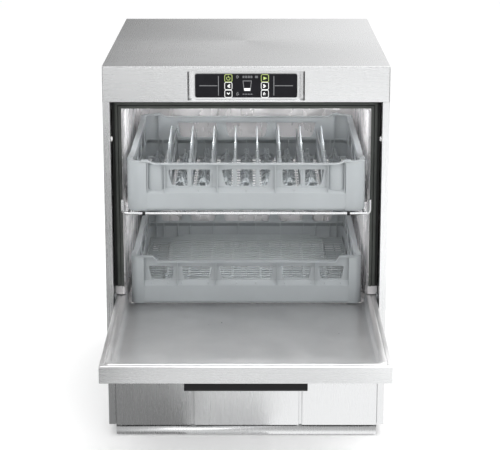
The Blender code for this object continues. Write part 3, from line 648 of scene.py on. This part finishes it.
def screw_head(place, direction, radius=0.0042):
    profile = [(0, -0.0005), (radius, -0.0005), (radius, 0.0004), (radius * 0.7, 0.0011), (0, 0.0011)]
    return turned(profile, place, direction, 16)


def build_foot(name):
    low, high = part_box(name)
    centre = ((low.x + high.x) / 2, (low.y + high.y) / 2, 0)
    radius = (high.x - low.x) / 2
    profile = [(0, 0), (radius - 0.003, 0), (radius - 0.0008, 0.0008), (radius, 0.003)]
    profile += [(radius, 0.009), (radius - 0.001, 0.0105), (0.0135, 0.0130), (0.0135, 0.0150)]
    profile += [(0.0115, 0.0155), (0.0115, high.z), (0, high.z)]
    rings = [
        turned([(0.0112, z), (0.0124, z + 0.0008), (0.0112, z + 0.0016)], centre)
        for z in (0.018, 0.021, 0.024)
    ]
    shape = together([turned(profile, centre), *rings])
    piece(f"{name}_finish", shape, "black", "cabinet", [name])


# ---- door


def u_loop(inset, height, radius, low, high, steps=8):
    """Points from the back left, round the door's front, to the back right."""
    left, right = low.x + inset, high.x - inset
    front = low.y + inset
    points = [(left, high.y, height)]
    for centre_x, start in ((left + radius, math.pi), (right - radius, 1.5 * math.pi)):
        curve = arc(centre_x, front + radius, radius, start, QUARTER, steps)
        points += [(x, y, height) for x, y in curve]
    points.append((right, high.y, height))
    return points


def build_door():
    low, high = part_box("door_inner_panel")
    face, pan = high.z, high.z - PAN_DEPTH
    steps = [
        (0.0000, face - 0.0030, 0.0030),
        (0.0002, face - 0.0008, 0.0032),
        (0.0010, face - 0.0001, 0.0036),
        (0.0080, face, 0.0050),
        (0.0092, face - 0.0009, 0.0055),
        (0.0104, face - 0.0009, 0.0060),
        (0.0116, face, 0.0065),
        (RIM_WIDTH - 0.0050, face, 0.0090),
        (RIM_WIDTH - 0.0022, face - 0.0006, 0.0100),
        (RIM_WIDTH - 0.0006, face - 0.0024, 0.0110),
        (RIM_WIDTH, face - 0.0050, 0.0115),
        (RIM_WIDTH + 0.0006, pan + 0.0070, 0.0118),
        (RIM_WIDTH + 0.0024, pan + 0.0026, 0.0122),
        (RIM_WIDTH + 0.0060, pan + 0.0006, 0.0135),
        (RIM_WIDTH + 0.0110, pan, 0.0150),
    ]
    shape = bmesh.new()
    loops = [[shape.verts.new(point) for point in u_loop(*step, low, high)] for step in steps]
    for outer, inner in zip(loops, loops[1:]):
        for a, b, c, d in zip(outer, outer[1:], inner[1:], inner):
            shape.faces.new((a, b, c, d))
    shape.faces.new(loops[-1])
    replaced = ["door_inner_panel"]
    made = piece("door_inner_panel_finish", shape, "door_inside", "door", replaced)
    if made.data.polygons[-1].normal.z < 0:
        made.data.flip_normals()
    sheet_metal(made, TANK_WALL)

    refined("door_outer_skin", "steel_x", 0.0012, 3)
    handle = refined("door_handle", "black", 0.0012, 3)
    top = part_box("door_handle")[1].z
    for vertex in handle.data.vertices:
        vertex.co.z = top - (top - vertex.co.z) * HANDLE_DEEPER
    for side in ("left", "right"):
        refined(f"hinge_arm_{side}", "cast", 0.0004)
        refined(f"hinge_bracket_{side}", "cast")


# ---- chamber


def build_chamber():
    floor = TANK_LOW.z + TANK_WALL
    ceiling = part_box("upper_spindle")[1].z + 0.0003
    rear = TANK_HIGH.y - TANK_WALL
    front = TANK_LOW.y
    shape = block((-CHAMBER_HALF, front - 0.04, floor), (CHAMBER_HALF, rear, ceiling))
    ends = [face for face in shape.faces if face.normal.y < -0.5]
    bmesh.ops.delete(shape, geom=ends, context="FACES_ONLY")
    bent = [edge for edge in shape.edges if not edge.is_boundary]
    bmesh.ops.bevel(shape, geom=bent, offset=CHAMBER_RADIUS, segments=8, profile=0.5, affect="EDGES")
    whole = shape.verts[:] + shape.edges[:] + shape.faces[:]
    mouth = {"plane_co": (0, front, 0), "plane_no": (0, -1, 0)}
    bmesh.ops.bisect_plane(shape, geom=whole, clear_outer=True, **mouth)
    made = piece("wash_chamber", shape, "chamber", "cabinet", ["wash_tank"])
    sheet_metal(made, TANK_WALL, 1)
    well_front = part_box("lower_guide_left")[0].y - 0.010
    notch = block((-0.32, front - 0.05, floor - 0.05), (0.32, well_front, SILL_Z))
    cutter = added("chamber_notch", mesh_of("chamber_notch", notch))
    cut = made.modifiers.new("notch", "BOOLEAN")
    cut.object = cutter
    cut.operation = "DIFFERENCE"
    bake_modifiers(made)
    bpy.data.objects.remove(cutter)

    wall = block(
        (-CHAMBER_HALF - 0.0004, well_front, floor + 0.004),
        (CHAMBER_HALF + 0.0004, well_front + TANK_WALL, CHAMBER_LIP_TOP),
        0.0003,
    )
    reach = CHAMBER_HALF - 0.002
    fold = wire([(x, well_front + 0.0018, CHAMBER_LIP_TOP) for x in (-reach, reach)], 0.0017)
    outer, top = TANK_HIGH.x, TANK_HIGH.z
    around = [(-outer, SILL_Z), (-outer, top), (outer, top), (outer, SILL_Z)]
    flange = plate(
        [around + mouth_outline(CHAMBER_HALF, SILL_Z, ceiling)],
        TANK_WALL,
        0.0002,
        upright(front + TANK_WALL / 2),
    )
    front_parts = together([wall, fold, flange])
    ridge = [(x, rear, RIDGE_LOW) for x in (-RIDGE_HALF, RIDGE_HALF)]
    ridge += [(x, rear, RIDGE_HIGH) for x in (RIDGE_HALF, -RIDGE_HALF)]
    rear_ridge = wire(ridge, 0.0022, 0.030, True)
    for name, shape in (("chamber_front_parts", front_parts), ("chamber_rear_ridge", rear_ridge)):
        piece(name, shape, "chamber", "cabinet")

    for side in ("left", "right"):
        for level in ("lower", "upper"):
            refined(f"{level}_guide_{side}", "chamber", 0.0005)
        refined(f"catch_stud_{side}", "white", 0.0003)
    build_gasket()
    refined("tank_vent", "rubber", 0.0008)
    refined("tank_heater", "chrome", 0.0)


def mouth_outline(half, low, high, steps=8):
    """The chamber's mouth in X and Z, from its right foot over the top to its left foot."""
    points = [(half, low)]
    for centre, start in ((half - CHAMBER_RADIUS, 0), (-half + CHAMBER_RADIUS, QUARTER)):
        points += arc(centre, high - CHAMBER_RADIUS, CHAMBER_RADIUS, start, QUARTER, steps)
    return points + [(-half, low)]


def bake_modifiers(made):
    """The mesh as its modifiers leave it becomes the mesh itself."""
    bpy.context.view_layer.update()
    graph = bpy.context.evaluated_depsgraph_get()
    baked = bpy.data.meshes.new_from_object(made.evaluated_get(graph))
    made.modifiers.clear()
    made.data = baked


def build_gasket():
    """Rubber frame round three sides of the opening: a dark base, and a paler lip in two ribs."""
    low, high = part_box("opening_gasket")
    depth = high.y - low.y

    def band(outer, inner, thick, y):
        """The frame's stretch from outer to inner, both measured in from its outer edge."""
        left, right, top = low.x + outer, high.x - outer, high.z - outer
        reach, under = high.x - inner, high.z - inner
        outline = [(left, low.z), (left, top), (right, top), (right, low.z)]
        outline += [(reach, low.z), (reach, under), (-reach, under), (-reach, low.z)]
        return plate([outline], thick, min(0.0012, thick * 0.3), upright(y + thick / 2))

    base = band(0.0, GASKET_WIDTH, depth * 0.6, high.y - depth * 0.6)
    piece("opening_gasket_finish", base, "rubber", "cabinet", ["opening_gasket"])
    ribs = [
        band(0.0065, 0.0125, depth * 0.5, low.y + 0.0012),
        band(0.0137, GASKET_WIDTH, depth * 0.5, low.y),
    ]
    piece("opening_gasket_lip", together(ribs), "lip", "cabinet")


# ---- racks

RACK_HALF = (LOWER_HIGH.x - LOWER_LOW.x) / 2
SETBACK = 0.010
WALL = 0.0024
RIM_LIP = 0.0028


def across(x):
    """Puts a plate drawn in Y and Z upright at this x."""
    return Matrix(((0, 0, 1, x), (1, 0, 0, 0), (0, 1, 0, 0), (0, 0, 0, 1)))


def window(left, right, low, high, slant=0.0055, radius=0.0065, steps=4):
    """Trapezoid with rounded corners, wider at its top."""
    corners = [(left + slant, low), (right - slant, low), (right, high), (left, high)]
    points = []
    for index, corner in enumerate(corners):
        before, after = Vector(corners[index - 1]), Vector(corners[(index + 1) % 4])
        reach = radius if index < 2 else radius * 0.5
        points += [tuple(point) for point in eased(before, Vector(corner), after, reach, steps)]
    return points


class Rack:
    """The outline that the walls, posts and rim of one rack share; z counts from its base."""

    def __init__(self, rim, rise, raised, slope, radius, post, ledge):
        self.rim, self.rise, self.raised, self.slope = rim, rise, raised, slope
        self.radius, self.post = radius, post
        self.ledge_front, self.ledge_back = ledge

    def height(self, along):
        """Rim height at this distance from the middle of a side."""
        t = min(1.0, max(0.0, (abs(along) - self.raised + self.slope) / self.slope))
        return self.rim + self.rise * t * t * (3 - 2 * t)

    def path(self, level=None, inset=0.0, steps=8):
        """Points round the rack, each with its inward direction and rim height."""
        end = RACK_HALF - self.radius
        stations = [-end, -self.raised]
        stations += [-self.raised + self.slope * k / 5 for k in range(1, 6)]
        stations += [-x for x in reversed(stations)]
        quarter = [(x, -RACK_HALF + inset, 0.0, 1.0) for x in stations]
        for step in range(1, steps):
            angle = QUARTER * (step / steps - 1)
            out_x, out_y = math.cos(angle), math.sin(angle)
            reach = self.radius - inset
            quarter.append((end + reach * out_x, -end + reach * out_y, -out_x, -out_y))
        points = []
        for turn in range(4):
            c, s = (1, 0, -1, 0)[turn], (0, 1, 0, -1)[turn]
            for x, y, in_x, in_y in quarter:
                z = self.height(x) if level is None else level
                points.append((x * c - y * s, x * s + y * c, in_x * c - in_y * s, in_x * s + in_y * c, z))
        return points


def swept(path, section):
    """A closed section of (inward, up) carried round a closed path."""
    shape = bmesh.new()
    rings = [
        [shape.verts.new((x + in_x * inward, y + in_y * inward, z + up)) for inward, up in section]
        for x, y, in_x, in_y, z in path
    ]
    for ring, after in zip(rings, rings[1:] + rings[:1]):
        for index in range(len(section)):
            following = (index + 1) % len(section)
            shape.faces.new((ring[index], ring[following], after[following], after[index]))
    return shape


def four_sides(shapes):
    """Copies of a front wall's shapes on all four sides."""
    turns = [Matrix.Rotation(QUARTER * turn, 4, "Z") for turn in range(1, 4)]
    return shapes + [moved(shape.copy(), turn) for turn in turns for shape in shapes]


def rack_walls(rack, windows, fins, webs):
    front = -RACK_HALF
    post_x = RACK_HALF - rack.post
    back, under = rack.ledge_back, rack.ledge_back - 0.0030
    band = [
        (0.0016, 0.0038), (0.0008, 0.0046), (0.0008, rack.ledge_front - 0.0006),
        (0.0014, rack.ledge_front), (SETBACK, back), (SETBACK + WALL, back),
        (SETBACK + WALL, under), (0.0038, rack.ledge_front - 0.0030), (0.0034, 0.0038),
    ]
    foot = [(0.0045, 0.0), (0.0040, 0.0006), (0.0040, 0.0044), (0.0070, 0.0044), (0.0070, 0.0)]
    lip = [
        (0.0, -RIM_LIP), (0.0, -0.0009), (0.0009, 0.0), (SETBACK + WALL - 0.0009, 0.0),
        (SETBACK + WALL, -0.0009), (SETBACK + WALL, -RIM_LIP),
    ]
    shapes = [swept(rack.path(0.0), band), swept(rack.path(0.0), foot), swept(rack.path(), lip)]

    reach = post_x + 0.0006
    slope = [rack.raised - rack.slope * k / 5 for k in range(6)]
    wall = [(reach, back - 0.0005), (reach, rack.height(post_x) - 0.0010)]
    wall += [(x, rack.height(x) - 0.0010) for x in slope]
    wall += [(-x, z) for x, z in reversed(wall)]
    side = [plate([wall, *windows], WALL, 0.0006, upright(front + SETBACK + WALL / 2))]
    for x in fins:
        top = rack.height(x) - 0.0012
        outline = [
            (front + 0.0012, rack.ledge_front - 0.0004), (front + SETBACK + 0.0006, back - 0.0010),
            (front + SETBACK + 0.0006, top), (front + 0.0006, top),
        ]
        side.append(plate([outline], 0.0020, 0.0005, across(x)))
    for x in webs:
        side.append(
            block((x - 0.0009, front + 0.0030, 0.0046), (x + 0.0009, front + SETBACK + WALL, under), 0.0003)
        )

    corner = -RACK_HALF + rack.radius

    def skin(radius):
        curve = arc(corner, corner, radius, 1.5 * math.pi, -QUARTER, 10)
        return [(-post_x, corner - radius), *curve, (corner - radius, -post_x)]

    top = rack.height(RACK_HALF) - 0.0010
    outline = skin(rack.radius) + list(reversed(skin(rack.radius - WALL)))
    side.append(plate([outline], top, 0.0006, Matrix.Translation((0, 0, top / 2))))
    for turn in (0, 1):
        inner = (-post_x, front + SETBACK + WALL, top)
        end = block((-post_x - 0.0022, front + 0.0004, 0.0010), inner, 0.0006)
        if turn:
            swap = Matrix(((0, 1, 0, 0), (1, 0, 0, 0), (0, 0, 1, 0), (0, 0, 0, 1)))
            moved(end, swap)
            bmesh.ops.reverse_faces(end, faces=end.faces)
        side.append(end)
    return shapes + four_sides(side)


def lattice(half, count, rail, thickness, level):
    """Floor grid of square openings."""
    pitch = (2 * half - rail) / count
    centres = [-half + rail / 2 + (cell + 0.5) * pitch for cell in range(count)]
    reach = (pitch - rail) / 2
    holes = [rectangle(x, y, reach, reach) for x in centres for y in centres]
    return plate([rectangle(0, 0, half, half), *holes], thickness, 0.0003, Matrix.Translation((0, 0, level)))


def at_rack(low, high):
    return Matrix.Translation((0, (low.y + high.y) / 2, low.z))


LOWER_RACK = Rack(
    rim=LOWER_HIGH.z - CORNER_RISE - LOWER_LOW.z, rise=CORNER_RISE, raised=0.2040, slope=0.0120,
    radius=0.016, post=0.028, ledge=(0.0410, 0.0505),
)
UPPER_RACK = Rack(
    rim=0.1015, rise=0.0050, raised=0.2050, slope=0.0140, radius=0.028, post=0.0420,
    ledge=(0.0385, 0.0485),
)


def build_lower_rack():
    low, high = 0.0525, 0.0815
    spans = ((-0.2120, -0.1570), (-0.1410, -0.0750), (-0.0590, 0.0590), (0.0750, 0.1410), (0.1570, 0.2120))
    windows = [window(left, right, low, high) for left, right in spans]
    fins = (-0.1500, -0.0665, 0.0665, 0.1500)
    webs = (-0.2050, -0.1700, -0.1400, -0.0830, -0.0210, 0.0210, 0.0830, 0.1400, 0.1700, 0.2050)
    shapes = rack_walls(LOWER_RACK, windows, fins, webs)
    inner = RACK_HALF - 0.0125
    border = rectangle(0, 0, inner, inner)
    hole = [(x * 0.955, y * 0.955) for x, y in border]
    shapes.append(plate([border, hole], 0.0030, 0.0006, Matrix.Translation((0, 0, 0.0062))))
    for index in range(25):
        y = -0.225 + 0.450 * index / 24
        shapes.append(block((-0.230, y - 0.0016, 0.0034), (0.230, y + 0.0016, 0.0070), 0.0005))
    for index in range(9):
        x = -0.212 + 0.424 * index / 8
        shapes.append(block((x - 0.0014, -0.230, 0.0012), (x + 0.0014, 0.230, 0.0056), 0.0004))
    middle = at_rack(LOWER_LOW, LOWER_HIGH)
    shape = moved(together(shapes), middle)
    piece("lower_rack_finish", shape, "rack", "lower_rack", ["lower_rack"])
    build_insert(middle)


def build_insert(middle):
    """Slatted insert: a raised deck with clipped corners between two lower wings."""
    low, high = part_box("plate_insert")
    top = high.z - middle.translation.z
    half, deck, clip, depth = high.x - 0.004, 0.186, 0.030, (high.y - low.y) / 2 - 0.004
    shapes = []
    slats = 29
    for index in range(slats):
        y = -depth + 2 * depth * index / (slats - 1)
        reach = deck - max(0.0, abs(y) - (depth - clip))
        shapes.append(block((-reach, y - 0.0022, top - 0.0040), (reach, y + 0.0022, top - 0.0006), 0.0007))
        for side in (-1, 1):
            inner_x, outer_x = sorted((side * (reach + 0.002), side * half))
            shapes.append(
                block((inner_x, y - 0.0018, top - 0.0092), (outer_x, y + 0.0018, top - 0.0064), 0.0006)
            )
    for x in (-0.180, -0.131, -0.082, -0.032, 0.032, 0.082, 0.131, 0.180):
        reach = depth - max(0.0, abs(x) - (deck - clip)) - 0.001
        shapes.append(block((x - 0.0026, -reach, top - 0.0115), (x + 0.0026, reach, top - 0.0036), 0.0006))
    for x in (-half, half):
        shapes.append(block((x - 0.0015, -depth, top - 0.0110), (x + 0.0015, depth, top - 0.0050), 0.0006))
    shape = moved(together(shapes), middle)
    piece("plate_insert_finish", shape, "insert", "lower_rack", ["plate_insert"])


DIVIDERS = [(index - 3.5) * 0.0475 for index in range(8)]


def divider(x):
    """Upright plate that climbs in steps from the front to a peak in the middle, and is low behind it."""
    ends = RACK_HALF - SETBACK
    steps = ((ends, 0.0920), (0.200, 0.1030), (0.165, 0.1130), (0.120, 0.1210), (0.055, 0.1290))
    outline = [(-ends, 0.0052)]
    for away, top in steps:
        outline += [(-away, top - 0.0060), (-away + 0.0060, top)]
    outline += [(-0.004, 0.1305), (0.004, 0.1290), (0.020, 0.0780), (ends, 0.0720), (ends, 0.0052)]
    slots = [window(-0.190 + 0.078 * k, -0.122 + 0.078 * k, 0.030, 0.060, 0.004, 0.009) for k in range(5)]
    shapes = [plate([outline, *slots], 0.0022, 0.0005, across(x))]
    floor = 0.0052
    for index, (away, top) in enumerate(steps[:4]):
        wide = 0.0046 - 0.0007 * index
        near = -away + 0.0006
        shapes.append(block((x - wide, near, floor), (x + wide, near + 0.0050, top - 0.0030), 0.0008))
        floor = top - 0.0160
    return shapes


def glass_support(x, y):
    """Cross of stepped ribs that holds a glass off the floor."""
    outline = [
        (-0.0190, 0.0030), (-0.0190, 0.0120), (-0.0095, 0.0150), (-0.0065, 0.0290),
        (0.0065, 0.0290), (0.0095, 0.0150), (0.0190, 0.0120), (0.0190, 0.0030),
    ]
    shapes = []
    for turn in (0.25, 0.75):
        place = Matrix.Translation((x, y, 0)) @ Matrix.Rotation(turn * math.pi, 4, "Z") @ FACE_UP
        shapes.append(plate([outline], 0.0018, 0.0004, place))
    return shapes


def bulge(x):
    """Rounded upright swelling on a wall."""
    half, deep, low, high = 0.0176, 0.0065, 0.0436, 0.0990
    angles = [math.pi * step / 12 for step in range(13)]
    outline = [(half * math.cos(a), -RACK_HALF + SETBACK + 0.0008 - deep * math.sin(a)) for a in angles]
    place = Matrix.Translation((x, 0, (low + high) / 2))
    return plate([outline], high - low, 0.0004, place)


def rim_tab(x):
    low = Vector((x - 0.0080, -RACK_HALF + 0.0004, 0.1040))
    return block(low, low + Vector((0.0160, 0.0100, 0.0052)), 0.0014)


def build_upper_rack():
    low, high = 0.0520, 0.0870
    spans = ((-0.1640, -0.0700), (-0.0510, 0.0510), (0.0700, 0.1640))
    windows = [window(left, right, low, high, 0.0080, 0.0085) for left, right in spans]
    fins = (-0.2060, -0.1710, -0.0605, 0.0605, 0.1710, 0.2060)
    webs = (-0.20, -0.10, 0.0, 0.10, 0.20)
    shapes = rack_walls(UPPER_RACK, windows, fins, webs)
    shapes += four_sides([bulge(side * 0.1885) for side in (-1, 1)])
    shapes += four_sides([rim_tab(side * 0.2110) for side in (-1, 1)])
    shapes.append(lattice(0.2390, 19, 0.0026, 0.0032, 0.0042))
    for x in DIVIDERS:
        shapes += divider(x)
    bays = [-0.2080] + [(a + b) / 2 for a, b in zip(DIVIDERS, DIVIDERS[1:])] + [0.2080]
    for x in bays:
        for row in range(10):
            shapes += glass_support(x, -0.2115 + 0.0470 * row)
    shape = moved(together(shapes), at_rack(UPPER_LOW, UPPER_HIGH))
    piece("upper_rack_finish", shape, "rack", "upper_rack", ["upper_rack"])


def build_carrier():
    """Chrome wire frame that carries the upper rack, its front ends turned up beside the rack."""
    low, high = CARRIER_LOW, CARRIER_HIGH
    radius = CARRIER_WIRE
    z = high.z - 0.0030
    x_in, front, back = high.x - radius - 0.0003, low.y + 0.0030, high.y - 0.0030
    up = z + CARRIER_UPTURN
    wide = UPPER_HIGH.x + CARRIER_BESIDE
    loop = [(-wide, front, up), (-wide, front, z), (wide, front, z), (wide, front, up)]
    frame_back = [(-x_in, front + 0.010, z), (-x_in, back, z), (x_in, back, z), (x_in, front + 0.010, z)]
    wires = [wire(loop, radius, 0.009, sides=4), wire(frame_back, radius, 0.016, sides=4)]
    for x in (-0.1, 0.1):
        wires.append(wire([(x, front, z - 0.0004), (x, back, z - 0.0004)], radius * 0.8))
    level = low.z + radius * 0.85
    step_y = front + 0.022
    behind = step_y + 0.03
    short = [(-0.13, behind, z), (-0.13, step_y, level), (0.13, step_y, level), (0.13, behind, z)]
    wires.append(wire(short, radius * 0.8, 0.006, sides=4))
    piece("rack_carrier_finish", together(wires), "chrome", "rack_carrier", ["rack_carrier"])
    sleeve = [(0.0029, -0.0030), (0.0042, -0.0030), (0.0042, 0.0030), (0.0029, 0.0030)]
    clips = [turned(sleeve, (x, front, z), (1, 0, 0), 16) for x in (-0.214, 0.214)]
    piece("rack_carrier_clips", together(clips), "black", "rack_carrier")


# ---- control panel

PRINT_DEPTH = 0.00012
PRINT_SUNK = 0.00003


def on_panel(outlines, y):
    """A flat print on the front: outlines in X and Z."""
    return plate(outlines, PRINT_DEPTH, 0.0, upright(y))


def ring(x, z, outer, inner, gap=0.0, steps=20):
    """Round line, open at its top by gap radians each way."""
    start, turn = QUARTER + gap, 2 * math.pi - 2 * gap
    outside = arc(x, z, outer, start, turn, steps)
    return outside + list(reversed(arc(x, z, inner, start, turn, steps)))


def rectangle(x, z, half_x, half_z):
    signs = ((-1, -1), (1, -1), (1, 1), (-1, 1))
    return [(x + half_x * side, z + half_z * up) for side, up in signs]


def rounded(x, z, half, radius, steps=5):
    """Square outline with round corners."""
    points = []
    for turn in range(4):
        centre_x = x + (half - radius) * (1, -1, -1, 1)[turn]
        centre_z = z + (half - radius) * (1, 1, -1, -1)[turn]
        points += arc(centre_x, centre_z, radius, QUARTER * turn, QUARTER, steps)
    return points


def arrow(x, z, size, direction):
    """A solid triangle: direction is an angle in degrees."""
    turn = math.radians(direction)
    angles = (turn, turn + 2.3, turn - 2.3)
    return [(x + size * math.cos(a), z + size * math.sin(a)) for a in angles]


def chevron(x, z, size, direction, width):
    turn = math.radians(direction)
    raw = [(0.5, 0), (-0.35, 0.75), (-0.35 - width, 0.75 - width * 0.6), (0.5 - width * 1.6, 0)]
    raw += [(-0.35 - width, -0.75 + width * 0.6), (-0.35, -0.75)]
    c, s = size * math.cos(turn), size * math.sin(turn)
    return [(x + u * c - v * s, z + u * s + v * c) for u, v in raw]


KEY_PRINTS = {
    "key_power": ("print_green", lambda x, z: [ring(x, z - 0.0003, 0.0042, 0.0031, 0.6),
                                               rectangle(x, z + 0.0030, 0.0006, 0.0022)]),
    "key_start": ("print_green", lambda x, z: [arrow(x, z, 0.0047, 0)]),
    "key_left": ("print_white", lambda x, z: [chevron(x, z, 0.0052, 180, 0.5)]),
    "key_right": ("print_white", lambda x, z: [chevron(x, z, 0.0052, 0, 0.5)]),
    "key_down": ("print_white", lambda x, z: [chevron(x, z, 0.0045, 270, 0.35)]),
    "key_option": ("print_white", lambda x, z: [ring(x, z, 0.0038, 0.0026, 0.0),
                                                rectangle(x, z, 0.0012, 0.0012)]),
}


def build_control_panel():
    refined("control_panel", "glass", 0.0006, 3)
    refined("control_board", "board", 0.0)
    lifted = PRINT_SUNK - PRINT_DEPTH / 2
    face = GLASS_LOW.y + lifted
    for name, (skin, outlines) in KEY_PRINTS.items():
        low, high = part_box(name)
        x, z, half = (low.x + high.x) / 2, (low.z + high.z) / 2, (high.x - low.x) / 2
        refined(name, "black", 0.0008, 3)
        prints = [on_panel([outline], low.y + lifted) for outline in outlines(x, z)]
        piece(f"{name}_mark", together(prints), skin, name)
        border = [rounded(x, z, half + 0.00118, 0.0036), rounded(x, z, half + 0.0001, 0.0026)]
        piece(f"{name}_border", on_panel(border, face), skin, "cabinet")

    middle = (GLASS_LOW.z + GLASS_HIGH.z) / 2
    grey = [rectangle(side * 0.0577, middle, 0.0006, 0.0205) for side in (-1, 1)]
    grey += [rectangle(side * 0.0785, middle, 0.0190, 0.0006) for side in (-1, 1)]
    for x in (-0.0055, 0.0, 0.0055, 0.0110):
        grey += [rectangle(x, middle + up, 0.0020, 0.0007) for up in (0.0200, 0.0172, -0.0178)]
    grey += [rectangle(0.0215, middle + up, 0.0030, 0.0007) for up in (0.0200, 0.0172)]
    for z in (middle + 0.0186, middle - 0.0178):
        grey += [ring(-0.0165, z, 0.0040, 0.0031), rectangle(-0.0165, z, 0.0014, 0.0010)]
    prints = [on_panel([outline], face) for outline in grey]
    prints.append(on_panel([tumbler_outline(middle, inset) for inset in (0.0, 0.0012)], face))
    piece("panel_lines", together(prints), "print_grey", "cabinet")
    filled = on_panel([tumbler_outline(middle, 0.0008, 0.0052)], face - 0.00002)
    piece("panel_pictogram", filled, "print_white", "cabinet")


def tumbler_outline(middle, inset, filled=None):
    """A glass seen from the side, up to its rim or to a fill height."""
    x, low, high = 0.0022, middle - 0.0112 + inset, middle + 0.0108 - inset
    narrow, wide = 0.0068 - inset, 0.0094 - inset
    if filled:
        wide = narrow + (wide - narrow) * filled / (high - low)
        high = low + filled
    return [(x - narrow, low), (x + narrow, low), (x + wide, high), (x - wide, high)]


# ---- wet parts and plant


PLANT = {
    "cast": "sump wash_pump",
    "white": "lower_spindle upper_spindle detergent_doser rinse_aid_doser inlet_valve",
    "black": "drain_pump drain_spigot cable_gland",
    "chamber": "rinse_boiler",
    "brass": "water_inlet",
}


def build_hidden_parts():
    """Spray arms, sump, and the plant behind the panels."""
    for name in ("lower_wash_arm", "lower_rinse_arm", "upper_wash_arm", "upper_rinse_arm"):
        refined(name, "chamber", 0.0012, 3)
    for skin, names in PLANT.items():
        for name in names.split():
            refined(name, skin, 0.0008)
    refined("sump_filter", "chamber")
    refined("wash_riser", "black", 0.0)


def main():
    add_camera()
    add_studio()
    build_cabinet()
    build_door()
    build_chamber()
    build_lower_rack()
    build_upper_rack()
    build_carrier()
    build_control_panel()
    build_hidden_parts()


main()
